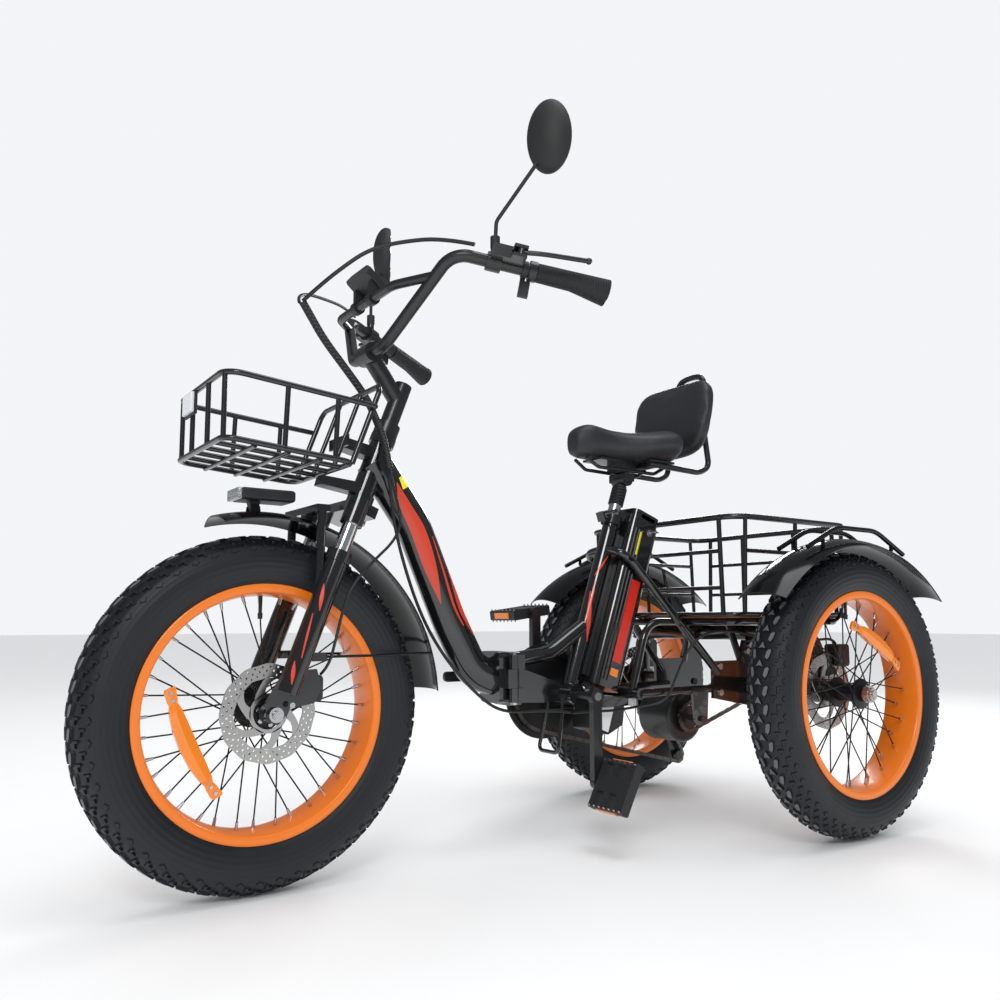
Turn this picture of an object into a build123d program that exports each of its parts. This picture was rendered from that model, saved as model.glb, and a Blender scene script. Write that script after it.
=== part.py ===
from build123d import *
import math
import os

os.makedirs("parts", exist_ok=True)

# Adult three-wheeler, millimetres. X forward, Y to the rider's left, Z up.
# Everything is laid out from the rear axle, then moved so the box is centred.
CENTRE_X = -571.5

# wheels
WHEEL_R = 293.0
WHEELBASE = 1143.0
REAR_Y = 340.0
TYRE_HALF = 50.0
RIM_R = 210.0
RIM_HALF = 39.5
SPOKES = 36
ROTOR_R = 80.0
AXLE_R = 6.0

# steering
HEAD_ANGLE = 69.0
FORK_OFFSET = 38.0
LEG_OFFSET = 30.0
LEG_Y = 75.0
LEG_R = 19.0
STANCHION_R = 14.0
STEERER_R = 14.0

# frame
SEAT_TUBE_R = 16.5
POST_R = 13.6
SEAT_X = 480.0
SEAT_Z = 280.0
SEAT_ANGLE = 70.56
BB = (485.0, 0.0, 292.0)
CRANK = 168.0
HINGE_X = 646.0
HINGE_Y = 44.0
MOTOR = (170.0, 0.0, 228.0)
SHAFT_R = 8.0
ARCH_Y = 262.0
RACK_Z = 440.0

# handlebar
BAR_R = 11.0
BAR_LOW = (948.0, 62.0, 936.0)
BAR_TOP = (893.0, 207.0, 1074.0)
BAR_END = (643.0, 322.0, 1024.0)

HA = math.radians(HEAD_ANGLE)
SA = math.radians(SEAT_ANGLE)
AXLE = (WHEELBASE, 0.0, WHEEL_R)
FOOT = (WHEELBASE - FORK_OFFSET * math.sin(HA), WHEEL_R - FORK_OFFSET * math.cos(HA))


def steer(up, ahead=0.0, y=0.0):
    """A point measured up the steering axis and ahead of it."""
    x = FOOT[0] - up * math.cos(HA) + ahead * math.sin(HA)
    z = FOOT[1] + up * math.sin(HA) + ahead * math.cos(HA)
    return (x, y, z)


def seat(up, back=0.0, y=0.0):
    """A point measured up the seat tube and behind it."""
    x = SEAT_X - up * math.cos(SA) - back * math.sin(SA)
    z = SEAT_Z + up * math.sin(SA) - back * math.cos(SA)
    return (x, y, z)


GRIP_DIR = (Vector(*BAR_END) - Vector(*BAR_TOP)).normalized()
GRIP_OUT = Vector(-GRIP_DIR.Y, GRIP_DIR.X, 0).normalized() * -1
GRIP_PLANE = Plane(origin=BAR_TOP, x_dir=GRIP_OUT, z_dir=GRIP_DIR)


def grip(along, out=0.0, up=0.0):
    """A point along the left grip, out from it and above it."""
    p = Vector(*BAR_TOP) + GRIP_DIR * along + GRIP_OUT * out - GRIP_PLANE.y_dir * up
    return (p.X, p.Y, p.Z)


def save(node, *solids):
    placed = [Pos(CENTRE_X, 0, 0) * s for s in solids]
    shape = placed[0] if len(placed) == 1 else Compound(children=placed)
    export_step(shape, f"parts/{node}.step")


def fuse(*solids):
    return solids[0].fuse(*solids[1:]).clean()


def left_right(solid):
    """A piece and its twin on the other side of the machine."""
    return [solid, mirror(solid, about=Plane.XZ)]


def cyl(a, b, r):
    a = Vector(*a)
    b = Vector(*b)
    return Solid.make_cylinder(r, (b - a).length, Plane(origin=a, z_dir=b - a))


def cone(a, b, r0, r1):
    a = Vector(*a)
    b = Vector(*b)
    return Solid.make_cone(r0, r1, (b - a).length, Plane(origin=a, z_dir=b - a))


def tube(points, radii, r):
    """A round bar along straight runs joined by tangent arcs."""
    path = FilletPolyline(*points, radius=radii, close=len(radii) == len(points))
    section = Plane(origin=path @ 0, z_dir=path % 0) * Circle(r)
    return sweep(section, path).solid()


def cord(points, r):
    """A cable whose bends are as wide as its runs allow."""
    radii = []
    for a, b, c in zip(points, points[1:], points[2:]):
        p = Vector(*b) - Vector(*a)
        q = Vector(*c) - Vector(*b)
        half = math.radians(p.get_angle(q)) / 2
        radii.append(0.45 * min(p.length, q.length) / math.tan(half))
    print("cord radii", [round(v) for v in radii])
    return tube(points, radii, r)


def block(x0, x1, y0, y1, z0, z1):
    centre = Pos((x0 + x1) / 2, (y0 + y1) / 2, (z0 + z1) / 2)
    return (centre * Box(x1 - x0, y1 - y0, z1 - z0)).solid()


def plate(points, y0, y1):
    """A flat outline in X and Z, cut from Y0 to Y1."""
    face = Face(Wire.make_polygon([Vector(x, y0, z) for x, z in points]))
    return Solid.extrude(face, Vector(0, y1 - y0, 0))


def turned(points, centre):
    """A closed outline of (radius, y) spun about a sideways axle."""
    face = Face(Wire.make_polygon([Vector(r, y, 0) for r, y in points]))
    return Pos(*centre) * Solid.revolve(face, 360, Axis.Y)


def along(plane, s0, s1, r, out=0.0, up=0.0):
    """A cylinder set in a plane's own directions."""
    base = Plane(origin=plane.from_local_coords((out, -up, s0)), z_dir=plane.z_dir)
    return Solid.make_cylinder(r, s1 - s0, base)


def local_block(plane, a0, a1, b0, b1, s0, s1):
    centre = Pos((a0 + a1) / 2, (b0 + b1) / 2, (s0 + s1) / 2)
    return (plane * centre * Box(a1 - a0, b1 - b0, s1 - s0)).solid()


# ---------------------------------------------------------------- wheels


def tyre(centre):
    """A hollow balloon tyre, open towards the rim between its beads."""
    bead = RIM_R - 8.0
    skin = 6.0
    outer = [
        ThreePointArc((bead + 8, -36), (247, -TYRE_HALF), (282, -41)),
        ThreePointArc((282, -41), (WHEEL_R, 0), (282, 41)),
        ThreePointArc((282, 41), (247, TYRE_HALF), (bead + 8, 36)),
        Polyline((bead + 8, 36), (bead, 34.8), (bead, -34.8), (bead + 8, -36)),
    ]
    inner = [
        ThreePointArc((bead + 8, -29), (247, skin - TYRE_HALF), (276, -35)),
        ThreePointArc((276, -35), (WHEEL_R - skin, 0), (276, 35)),
        ThreePointArc((276, 35), (247, TYRE_HALF - skin), (bead + 8, 29)),
        Polyline((bead + 8, 29), (bead - 5, 29), (bead - 5, -29), (bead + 8, -29)),
    ]
    rings = [revolve(make_face(lines), Axis.Y) for lines in (outer, inner)]
    return Pos(*centre) * (rings[0] - rings[1]).solid()


def rim(centre):
    return turned(
        [
            (RIM_R, -RIM_HALF),
            (RIM_R, -36.5),
            (RIM_R - 10, -35.6),
            (RIM_R - 14, -28),
            (RIM_R - 17, -12),
            (RIM_R - 17, 12),
            (RIM_R - 14, 28),
            (RIM_R - 10, 35.6),
            (RIM_R, 36.5),
            (RIM_R, RIM_HALF),
            (RIM_R - 13, RIM_HALF),
            (RIM_R - 19, 28),
            (RIM_R - 20, 12),
            (RIM_R - 20, -12),
            (RIM_R - 19, -28),
            (RIM_R - 13, -RIM_HALF),
        ],
        centre,
    )


def laced(centre, hub, flange_y, flange_r):
    """A hub with crossed spokes reaching the rim's inner wall."""
    wires = []
    for k in range(SPOKES):
        side = 1 if k % 2 == 0 else -1
        lead = 1 if (k // 2) % 2 == 0 else -1
        at_rim = math.radians(360 / SPOKES * k)
        at_hub = at_rim + math.radians(62) * lead
        r = flange_r - 4
        a = (centre[0] + r * math.cos(at_hub), centre[1] + side * flange_y, centre[2] + r * math.sin(at_hub))
        rr = RIM_R - 20.3
        b = (centre[0] + rr * math.cos(at_rim), centre[1] + side * 7, centre[2] + rr * math.sin(at_rim))
        wires.append(cyl(a, b, 1.3))
    return fuse(hub, *wires)


def front_hub():
    body = turned(
        [
            (6.05, -69.4),
            (6.05, 69.4),
            (11, 69.4),
            (11, 58),
            (17, 54),
            (17, 50),
            (22, 50),
            (22, 34),
            (30, 32),
            (30, 28),
            (17, 25),
            (17, -25),
            (30, -28),
            (30, -32),
            (17, -36),
            (11, -56),
            (11, -69.4),
        ],
        AXLE,
    )
    return laced(AXLE, body, 30, 30)


def rear_hub(side, inner_end):
    """A rear hub on its own half shaft, which runs in to inner_end."""
    c = (0, REAR_Y * side, WHEEL_R)
    outline = [(0, -33), (20, -33), (20, -30), (31, -29), (31, -25), (18, -22)]
    outline += [(18, 22), (31, 25), (31, 29), (16, 32), (16, 40), (0, 40)]
    body = turned([(r, y * side) for r, y in outline], c)
    shaft = cyl((0, side * inner_end, WHEEL_R), (0, side * 394, WHEEL_R), SHAFT_R)
    seat_ring = cyl((0, side * 285, WHEEL_R), (0, side * 300, WHEEL_R), 14)
    shoulder = cyl((0, side * 291, WHEEL_R), (0, side * 310, WHEEL_R), 22)
    nut = cyl((0, side * 380, WHEEL_R), (0, side * 389, WHEEL_R), 13)
    return laced(c, fuse(body, shaft, seat_ring, shoulder, nut), 27, 31)


def rotor(centre, y0, y1, bore):
    """A drilled brake disc with six arms."""
    disc = Circle(ROTOR_R) - Circle(bore)
    window = Circle(62) - Circle(bore + 9)
    arms = [Rot(0, 0, 60 * k) * Pos(40, 0) * Rectangle(80, 13) for k in range(6)]
    disc = disc - (window - arms)
    holes = [Rot(0, 0, 15 * k) * Pos(68 + 6 * (k % 2), 0) * Circle(2.6) for k in range(24)]
    disc = disc - holes
    flat = extrude(disc, y1 - y0)
    return (Pos(centre[0], y1, centre[2]) * Rot(90, 0, 0) * flat).solid()


# ---------------------------------------------------------------- fork


def crown_lugs():
    lug = cyl(steer(338, LEG_OFFSET, LEG_Y), steer(386, LEG_OFFSET, LEG_Y), 19.5)
    level = Plane(origin=steer(376, LEG_OFFSET / 2), x_dir=(0, 1, 0), z_dir=(math.sin(HA), 0, math.cos(HA)))
    bridge = (level * Box(2 * LEG_Y, 20, LEG_OFFSET + 18)).solid()
    hub = cyl(steer(366), steer(400), 24)
    stem = cyl(steer(395), steer(560), STEERER_R)
    body = fuse(hub, bridge, stem, *left_right(lug))
    bore = cyl(steer(330, LEG_OFFSET, LEG_Y), steer(387, LEG_OFFSET, LEG_Y), STANCHION_R)
    for hole in left_right(bore):
        body = body.cut(hole)
    return body.solid()


def stanchions():
    return left_right(cyl(steer(120, LEG_OFFSET, LEG_Y), steer(386, LEG_OFFSET, LEG_Y), STANCHION_R))


def fork_lowers():
    leg = cyl(steer(38, LEG_OFFSET, LEG_Y), steer(284, LEG_OFFSET, LEG_Y), LEG_R)
    seal = cyl(steer(268, LEG_OFFSET, LEG_Y), steer(287, LEG_OFFSET, LEG_Y), LEG_R + 3)
    shoe = plate(
        [(p[0], p[2]) for p in (steer(75, 14), steer(75, 46), steer(10, 58), steer(-14, 48), steer(-14, 28), steer(8, 18))],
        70,
        80,
    )
    strut = tube([(1077, 66, 420), (1066, 66, 520), (1063, 66, 634)], [300], 7.5)
    eyelet = block(1052, 1092, 68, 73, 375, 389)
    side = fuse(leg, seal, shoe, strut, eyelet)
    side = side.cut(cyl((AXLE[0], 60, AXLE[2]), (AXLE[0], 90, AXLE[2]), AXLE_R + 0.05))
    side = side.cut(cyl(steer(84, LEG_OFFSET, LEG_Y), steer(300, LEG_OFFSET, LEG_Y), STANCHION_R + 0.05))
    arch = block(1051, 1075, -73, 73, 626, 638)
    mount = plate([(1112, 300), (1112, 360), (1066, 362), (1056, 330), (1070, 306)], 58.5, 64)
    body = fuse(arch, *left_right(side), mount)
    return body.solid()


def front_axle():
    rod = cyl((AXLE[0], -93, AXLE[2]), (AXLE[0], 93, AXLE[2]), AXLE_R)
    nut = cyl((AXLE[0], 80.1, AXLE[2]), (AXLE[0], 88, AXLE[2]), 12)
    return fuse(rod, *left_right(nut)).solid()


def front_fender():
    shell_outer = 333.0
    edge_r = 319.0
    outer = ThreePointArc((edge_r, -55), (shell_outer, 0), (edge_r, 55))
    inner = ThreePointArc((edge_r - 2, 53.5), (shell_outer - 2.5, 0), (edge_r - 2, -53.5))
    left_lip = Line((edge_r, 55), (edge_r - 2, 53.5))
    right_lip = Line((edge_r - 2, -53.5), (edge_r, -55))
    face = Face(Wire([*outer.edges(), *left_lip.edges(), *inner.edges(), *right_lip.edges()]))
    shell = Solid.revolve(face, 101, Axis.Y)
    shell = Pos(*AXLE) * Rot(0, -176, 0) * shell
    stay = tube([(1058, 64, 382), (960, 63, 382), (839, 54.4, 384)], [400], 2.4)
    eye = cyl((1058, 61, 382), (1058, 67.9, 382), 5)
    ear = plate([(1150, 618), (1170, 618), (1168, 634), (1163, 638), (1157, 638), (1152, 634)], 8, 11.5)
    pin = cyl((1160, -12, 632), (1160, 12, 632), 2.5)
    tab = block(1056, 1070, -11, 11, 612, 625.8)
    return fuse(shell, *left_right(stay), *left_right(eye), *left_right(ear), pin, tab).solid()


def headlight():
    body = fillet(block(1095, 1190, -30, 30, 642.5, 663).edges(), 6)
    tongue = plate([(1150, 643), (1170, 643), (1166, 629), (1160, 626), (1154, 629)], -7.5, 7.5)
    lamp = fuse(body.solid(), tongue)
    return lamp.cut(cyl((1160, -12, 632), (1160, 12, 632), 2.55)).solid()


def front_caliper():
    body = fillet(block(1052, 1092, 36, 58, 308, 352).edges().filter_by(Axis.Y), 8).solid()
    slot = cyl((AXLE[0], 47.6, AXLE[2]), (AXLE[0], 54.4, AXLE[2]), ROTOR_R + 3)
    return body.cut(slot).solid()


# ---------------------------------------------------------------- cockpit


def steering_post():
    post = cyl(steer(541), steer(652), 17)
    collar = cyl(steer(541), steer(566), 23)
    clamp_at = Vector(BAR_LOW[0], 0, BAR_LOW[2])
    root = Vector(*steer(618))
    arm = cyl((root.X, 0, root.Z), (clamp_at.X - 6, 0, clamp_at.Z - 6), 17)
    clamp = cyl((clamp_at.X, -24, clamp_at.Z), (clamp_at.X, 24, clamp_at.Z), 19)
    body = fuse(post, collar, arm, clamp)
    body = body.cut(cyl((clamp_at.X, -40, clamp_at.Z), (clamp_at.X, 40, clamp_at.Z), BAR_R + 0.02))
    body = body.cut(cyl(steer(530), steer(560.5), STEERER_R + 0.02))
    return body.cut(cyl(steer(640), steer(660), 13)).solid()


def handlebar():
    low_r = (BAR_LOW[0], -BAR_LOW[1], BAR_LOW[2])
    top_r = (BAR_TOP[0], -BAR_TOP[1], BAR_TOP[2])
    end_r = (BAR_END[0], -BAR_END[1], BAR_END[2])
    bar = tube([BAR_END, BAR_TOP, BAR_LOW, low_r, top_r, end_r], [48, 42, 42, 48], BAR_R)
    joint = Vector(*BAR_LOW) + (Vector(*BAR_TOP) - Vector(*BAR_LOW)) * 0.76
    a = (joint.X, joint.Y, joint.Z)
    b = (957, 108, 1033)
    brace = tube([a, b, (957, -108, 1033), (a[0], -a[1], a[2])], [45, 45], 8.5)
    return fuse(bar, brace).solid()


def grips():
    left = fuse(
        cone(grip(150), grip(282), 16.5, 18.5),
        cone(grip(205, 0, -3), grip(279, -4, -6), 13, 22),
    )
    left = left.cut(along(GRIP_PLANE, 140, 279.7, BAR_R + 0.02)).solid()
    return left_right(left)


def lever_perches():
    ring = along(GRIP_PLANE, 60, 86, 16.5)
    body = local_block(GRIP_PLANE, 14, 36, -20, 2, 64, 122)
    fork_top = local_block(GRIP_PLANE, 30, 52, -20, -14.3, 98, 122)
    fork_low = local_block(GRIP_PLANE, 30, 52, -3.7, 2, 98, 122)
    side = fuse(ring, body, fork_top, fork_low)
    side = side.cut(along(GRIP_PLANE, 50, 96, BAR_R + 0.02))
    pocket = local_block(GRIP_PLANE, 31.5, 60, -14.3, -3.7, 96, 130)
    side = side.cut(pocket)
    side = side.cut(local_block(GRIP_PLANE, 27, 60, -14.3, -3.7, 104, 130)).solid()
    top = grip(73, 0, 14)
    boss = cyl(top, (top[0], top[1], top[2] + 12), 8)
    side = fuse(side, boss)
    housing = along(GRIP_PLANE, 136, 149, 18).cut(along(GRIP_PLANE, 130, 149.5, BAR_R + 0.02)).solid()
    return [*left_right(side), housing]


def brake_lever():
    knuckle = cyl(grip(112, 44, 14.1), grip(112, 44, 3.9), 7)
    blade = tube([grip(112, 44, 9), grip(150, 52, 12), grip(230, 42, 24)], [110], 4.2)
    tip = Pos(*grip(230, 42, 24)) * Sphere(5.8)
    return fuse(knuckle, blade, tip.solid()).solid()


def throttle():
    ring = along(GRIP_PLANE, 124, 133, 15)
    finger = local_block(GRIP_PLANE, -13, -5, 8, 46, 125, 143)
    finger = finger.cut(along(GRIP_PLANE, 133, 150, 19))
    lever = fuse(ring, finger.solid())
    return lever.cut(along(GRIP_PLANE, 110, 150, BAR_R + 0.05)).solid()


def shifter():
    ring = along(GRIP_PLANE, 122, 146, 17)
    pod = local_block(GRIP_PLANE, 2, 30, 4, 34, 118, 148)
    body = fuse(ring, pod).cut(along(GRIP_PLANE, 100, 160, BAR_R + 0.02)).solid()
    return mirror(body, about=Plane.XZ)


MIRROR_FOOT = grip(73, 0, 14)
MIRROR_HEAD = (756.0, 304.0, 1283.0)


def mirror_piece():
    """The left mirror: nut, cranked stem and oval head."""
    x, y, z = MIRROR_FOOT
    nut = cyl((x, y, z + 12.1), (x, y, z + 32), 8.5)
    stem = tube([(x, y, z + 14), (x - 1, y + 2, z + 60), (778, 292, 1228), (768, 298, 1262)], [22, 30], 3.4)
    facing = Vector(-0.887, -0.462, 0)
    plane = Plane(origin=MIRROR_HEAD, x_dir=(0.462, -0.887, 0), z_dir=facing)
    dome = (plane * scale(Sphere(1), by=(41, 67, 30))).solid()
    dome = dome.cut((plane * Pos(0, 0, 60) * Box(200, 200, 100)).solid())
    return fuse(dome.solid(), nut, stem).solid()


def display():
    clamp = cyl((957, 24, 1033), (957, 38, 1033), 12.5)
    tilt = Plane(origin=(952, 0, 1068), x_dir=(0, 1, 0), z_dir=(-0.64, 0, 0.77))
    slab = fillet((tilt * Box(78, 62, 15)).edges().filter_by(Axis(origin=(0, 0, 0), direction=(-0.64, 0, 0.77))), 9)
    arm = block(948, 964, 26, 36, 1040, 1066)
    body = fuse(slab.solid(), *left_right(clamp), *left_right(arm))
    return body.cut(cyl((957, -60, 1033), (957, 60, 1033), 8.52)).solid()


# ---------------------------------------------------------------- front frame


def main_spine():
    """The thick curved spine tube, as an oval swept down from the head."""
    pts = [(936, 0, 736), (850, 0, 622), (768, 0, 440), (716, 0, 346), (668, 0, 330)]
    path = FilletPolyline(*pts, radius=[170, 420, 70])
    oval = Plane(origin=path @ 0, x_dir=(0, 1, 0), z_dir=path % 0) * Ellipse(27, 35)
    return sweep(oval, path).solid()


def front_frame():
    head = cyl(steer(403), steer(540), 21)
    low_cup = cyl(steer(401), steer(419), 24)
    top_cup = cyl(steer(522), steer(540), 24)
    face = block(HINGE_X + 2.3, HINGE_X + 28, -34, 34, 282, 382)
    face = fillet(face.edges().filter_by(Axis.X), 12).solid()
    lug = cyl((HINGE_X, HINGE_Y, 312), (HINGE_X, HINGE_Y, 348), 10)
    arm = block(HINGE_X + 2.3, HINGE_X + 20, 26, HINGE_Y + 9, 312, 348)
    body = fuse(head, low_cup, top_cup, main_spine(), face, arm, lug)
    body = body.cut(cyl(steer(395), steer(545), STEERER_R + 0.05))
    body = body.cut(cyl((HINGE_X, HINGE_Y, 300), (HINGE_X, HINGE_Y, 360), 5.05))
    return body.solid()


def fold_latch():
    """A cam lever on the far side of the folding joint."""
    boss = cyl((HINGE_X + 16, -45, 318), (HINGE_X + 16, -45, 346), 9)
    arm = block(HINGE_X + 16, HINGE_X + 104, -52, -45, 322, 342)
    return fuse(boss, fillet(arm.edges().filter_by(Axis.Y), 8).solid()).solid()


BASKET_FRONT = 1254.0
BASKET_HALF = 130.0


def basket_low(x):
    return 703 + (x - 1036) * 0.085


def basket_high(x):
    return 804 + (x - 998) * 0.088


def front_basket():
    h = BASKET_HALF
    f = BASKET_FRONT
    lo = basket_low
    hi = basket_high
    floor_loop = tube(
        [(f, h, lo(f)), (f, -h, lo(f)), (1036, -h, lo(1036)), (1036, h, lo(1036))],
        [22, 22, 22, 22],
        4.8,
    )
    top_rail = tube([(998, h, hi(998)), (f, h, hi(f)), (f, -h, hi(f)), (998, -h, hi(998))], [30, 30], 4.8)
    back_loop = tube([(1036, h - 8, lo(1036)), (983, h - 8, 845), (983, 8 - h, 845), (1036, 8 - h, lo(1036))], [18, 18], 4.8)
    bars = []
    for y in (-43, 43):
        bars.append(cyl((1036, y, lo(1036)), (983, y, 845), 4.2))
        bars.append(cyl((f, y, lo(f)), (f, y, hi(f)), 4.2))
    for y in (-116, 116):
        bars.append(cyl((f - 3, y, lo(f)), (f - 3, y, hi(f)), 4.2))
    for x in (1157, 1070):
        for y in (-h, h):
            bars.append(cyl((x, y, lo(x)), (x - 4, y, hi(x - 4)), 4.2))
    for y in (-78, -26, 26, 78):
        bars.append(cyl((1036, y, lo(1036)), (f, y, lo(f)), 4.4))
    for x in (1095, 1150, 1205):
        bars.append(cyl((x, -h, lo(x) - 5), (x, h, lo(x) - 5), 3.6))
    for y in (-1, 1):
        bars.append(cyl((998, y * h, hi(998)), (998, y * (h - 9), hi(998)), 4.8))
    return fuse(floor_loop, top_rail, back_loop, *bars).solid()


def basket_brackets():
    top = plate([(933, 735), (933, 758), (1005, 772), (1005, 752)], -17, 17)
    low = plate([(956, 668), (953, 690), (1040, 697.5), (1044, 682)], -17, 17)
    keep_clear = cyl(steer(400), steer(545), 21.0)
    cup = cyl(steer(401), steer(419), 24.0)
    top = top.cut(keep_clear)
    low = low.cut(keep_clear).cut(cup)
    tab = block(1002, 1007, -38, 38, 752, 772)
    return [fuse(max(top.solids(), key=lambda s: s.volume), tab).solid(), max(low.solids(), key=lambda s: s.volume)]


# ---------------------------------------------------------------- rear frame


def seat_tube():
    return cyl(seat(2), seat(411), SEAT_TUBE_R)


def stay_near():
    a = seat(338, 0, 6)
    return tube([a, (372, 56, 590), (340, 56, 572), (110, 88, 326)], [22, 30], 9)


def rack_side(y):
    """From the cross tube up behind the battery, then back under the basket."""
    return tube([(350, y, 289), (301, y, RACK_Z), (-166, y, RACK_Z)], [55], 8)


def low_stay():
    return cyl((345, 80, 289), (96, 80, 291), 9)


def axle_plate():
    outline = [(130, 270), (130, 352), (40, 352), (24, 398), (-16, 398), (-32, 330), (-32, 262), (20, 250)]
    return plate(outline, 84, 92)


def motor_hanger():
    return plate([(196, 296), (144, 296), (150, 226), (160, 214), (180, 214), (190, 226)], 84, 90)


def housing():
    tube_out = cyl((0, 84, WHEEL_R), (0, 280, WHEEL_R), 18)
    ends = cyl((0, 244, WHEEL_R), (0, 280, WHEEL_R), 26)
    return fuse(tube_out, ends)


def arch():
    foot = WHEEL_R + 5
    corners = [(0, ARCH_Y, foot), (0, ARCH_Y, 415), (0, -ARCH_Y, 415), (0, -ARCH_Y, foot)]
    return tube(corners, [46, 46], 18.5)


def rear_frame():
    shell = cyl((BB[0], -43, BB[2]), (BB[0], 43, BB[2]), 21)
    cross = cyl((345, -84, 289), (345, 84, 289), 12)
    face = block(HINGE_X - 28, HINGE_X - 2.3, -34, 34, 276, 380)
    face = fillet(face.edges().filter_by(Axis.X), 12).solid()
    lugs = [cyl((HINGE_X, HINGE_Y, z0), (HINGE_X, HINGE_Y, z1), 10) for z0, z1 in ((284, 311.4), (348.6, 376))]
    arms = [block(HINGE_X - 20, HINGE_X - 2.3, 26, HINGE_Y + 9, z0, z1) for z0, z1 in ((284, 311.4), (348.6, 376))]
    pin = cyl((HINGE_X, HINGE_Y, 284), (HINGE_X, HINGE_Y, 376), 5)
    beam = plate([(622, 281), (622, 350), (560, 330), (500, 310), (490, 280), (560, 278)], -26, 26)
    gusset = tube([(622, 0, 362), (520, 0, 376), (432, 0, 430)], [80], 16)
    side_bar = block(345, 492, 39.6, 45, 262, 284)
    corners = [(190, 206, RACK_Z), (-168, 206, RACK_Z), (-168, -206, RACK_Z), (190, -206, RACK_Z)]
    rack = tube(corners, [22, 22, 22, 22], 8)
    rail = cyl((0, -206, RACK_Z), (0, 206, RACK_Z), 8)
    posts = cyl((40, 60, RACK_Z), (30, 88, 345), 8)
    loop = tube([(505, 23, 292), (528, 32, 176), (528, -32, 176), (505, -23, 292)], [12, 12], 4)
    body = fuse(
        shell,
        seat_tube(),
        cross,
        face,
        *lugs,
        *arms,
        pin,
        beam,
        gusset,
        *left_right(side_bar),
        *left_right(stay_near()),
        rack_side(60),
        rack_side(-46),
        *left_right(low_stay()),
        *left_right(axle_plate()),
        *left_right(motor_hanger()),
        *left_right(housing()),
        arch(),
        rack,
        rail,
        *left_right(posts),
        loop,
    )
    body = body.cut(cyl((BB[0], -60, BB[2]), (BB[0], 60, BB[2]), SHAFT_R + 0.05))
    body = body.cut(cyl(seat(150), seat(420), POST_R + 0.05))
    body = body.cut(cyl((0, -300, WHEEL_R), (0, 300, WHEEL_R), SHAFT_R + 0.05))
    body = body.cut(cyl((MOTOR[0], -95, MOTOR[2]), (MOTOR[0], 95, MOTOR[2]), 6.05))
    return body.solid()


def seat_collar():
    ring = cyl(seat(396), seat(417), 22)
    lug = (Pos(*seat(406.5, -26)) * Rot(0, 90 - SEAT_ANGLE - 90, 0) * Box(21, 24, 16)).solid()
    body = fuse(ring, lug)
    body = body.cut(cyl(seat(390), seat(411), SEAT_TUBE_R))
    return body.cut(cyl(seat(380), seat(430), POST_R + 0.05)).solid()


def seat_lever():
    """Quick-release lever of the seat clamp, pivoting beside its lug."""
    a = seat(406.5, -26, 12.4)
    hub = cyl(a, (a[0], a[1] + 9, a[2]), 7)
    handle = tube([(a[0], a[1] + 5, a[2]), (a[0] + 16, a[1] + 16, a[2] + 2), (a[0] + 20, a[1] + 52, a[2] + 4)], [12], 4)
    return fuse(hub, handle).solid()


def rear_calipers():
    body = fillet(block(-62, -23, 270, 304, 345, 392).edges().filter_by(Axis.Y), 8).solid()
    body = body.cut(cyl((0, 285.4, WHEEL_R), (0, 292.6, WHEEL_R), ROTOR_R + 3))
    arm = block(-58, -19.5, 270, 276, 320, 350)
    body = fuse(body.solid(), arm)
    body = body.cut(cyl((0, 240, WHEEL_R), (0, 300, WHEEL_R), 26))
    return left_right(body.solid())


def rear_fender():
    """A deep rear mudguard with its two rub tubes and its struts."""
    arc_r = 408.0
    centre_z = 206.0
    outer = ThreePointArc((arc_r - 17, -57), (arc_r, 0), (arc_r - 17, 57))
    inner = ThreePointArc((arc_r - 19, 55.5), (arc_r - 2.5, 0), (arc_r - 19, -55.5))
    ends = [Line((arc_r - 17, 57), (arc_r - 19, 55.5)), Line((arc_r - 19, -55.5), (arc_r - 17, -57))]
    face = Face(Wire([e for line in [outer, ends[0], inner, ends[1]] for e in line.edges()]))
    shell = Solid.revolve(face, 89, Axis.Y)
    shell = Pos(-3, REAR_Y, centre_z) * Rot(0, -134.5, 0) * shell
    parts = [shell]
    for y in (REAR_Y - 34, REAR_Y + 34):
        parts.append(tube([(168, y, 588), (70, y, 632), (-68, y, 632), (-168, y, 586)], [110, 110], 5))
        for x in (118, -124):
            parts.append(cyl((x, y, 591), (x, y, 606), 4))
    for x in (110, -110):
        parts.append(tube([(x, 222, 440), (x, 252, 444), (x * 0.98, 286, 582)], [26], 4))
        parts.append(cyl((x, 214.2, 440), (x, 226, 440), 6.5))
    body = fuse(*parts)
    return body.solid()


def rear_basket():
    f = 208.0
    r = -190.0
    w = 232.0
    zb = 456.0
    zt = 662.0
    b = w - 8
    top = tube([(f, w, zt), (f, -w, zt), (r, -w, zt), (r, w, zt)], [45, 45, 45, 45], 6.5)
    low = tube([(f, b, zb), (f, -b, zb), (r, -b, zb), (r, b, zb)], [30, 30, 30, 30], 5)
    bars = []
    for y in (-1, 1):
        bars.append(cyl((f, y * 186, zt), (f, y * 192, zb), 5))
        bars.append(cyl((r, y * 186, zt), (r, y * 192, zb), 5))
        bars.append(cyl((r, y * 78, zt), (r, y * 78, zb), 4.5))
        bars.append(cyl((10, y * w, zt), (10, y * (w - 8), zb), 4.5))
        bars.append(cyl((r + 30, y * (w - 3), 590), (f - 30, y * (w - 3), 590), 4.5))
        bars.append(cyl((r + 30, y * (w - 6), 512), (f - 30, y * (w - 6), 512), 4.5))
        for x in (f - 30, r + 30):
            bars.append(cyl((x, y * w, zt), (x, y * (w - 8), zb), 4.5))
    for z in (590, 512):
        bars.append(cyl((f, -190, z), (f, 190, z), 4.5))
        bars.append(cyl((r, -190, z), (r, 190, z), 4.5))
    for y in (-150, -75, 0, 75, 150):
        bars.append(cyl((r, y, zb), (f, y, zb), 3.5))
    return fuse(top, low, *bars).solid()


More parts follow.
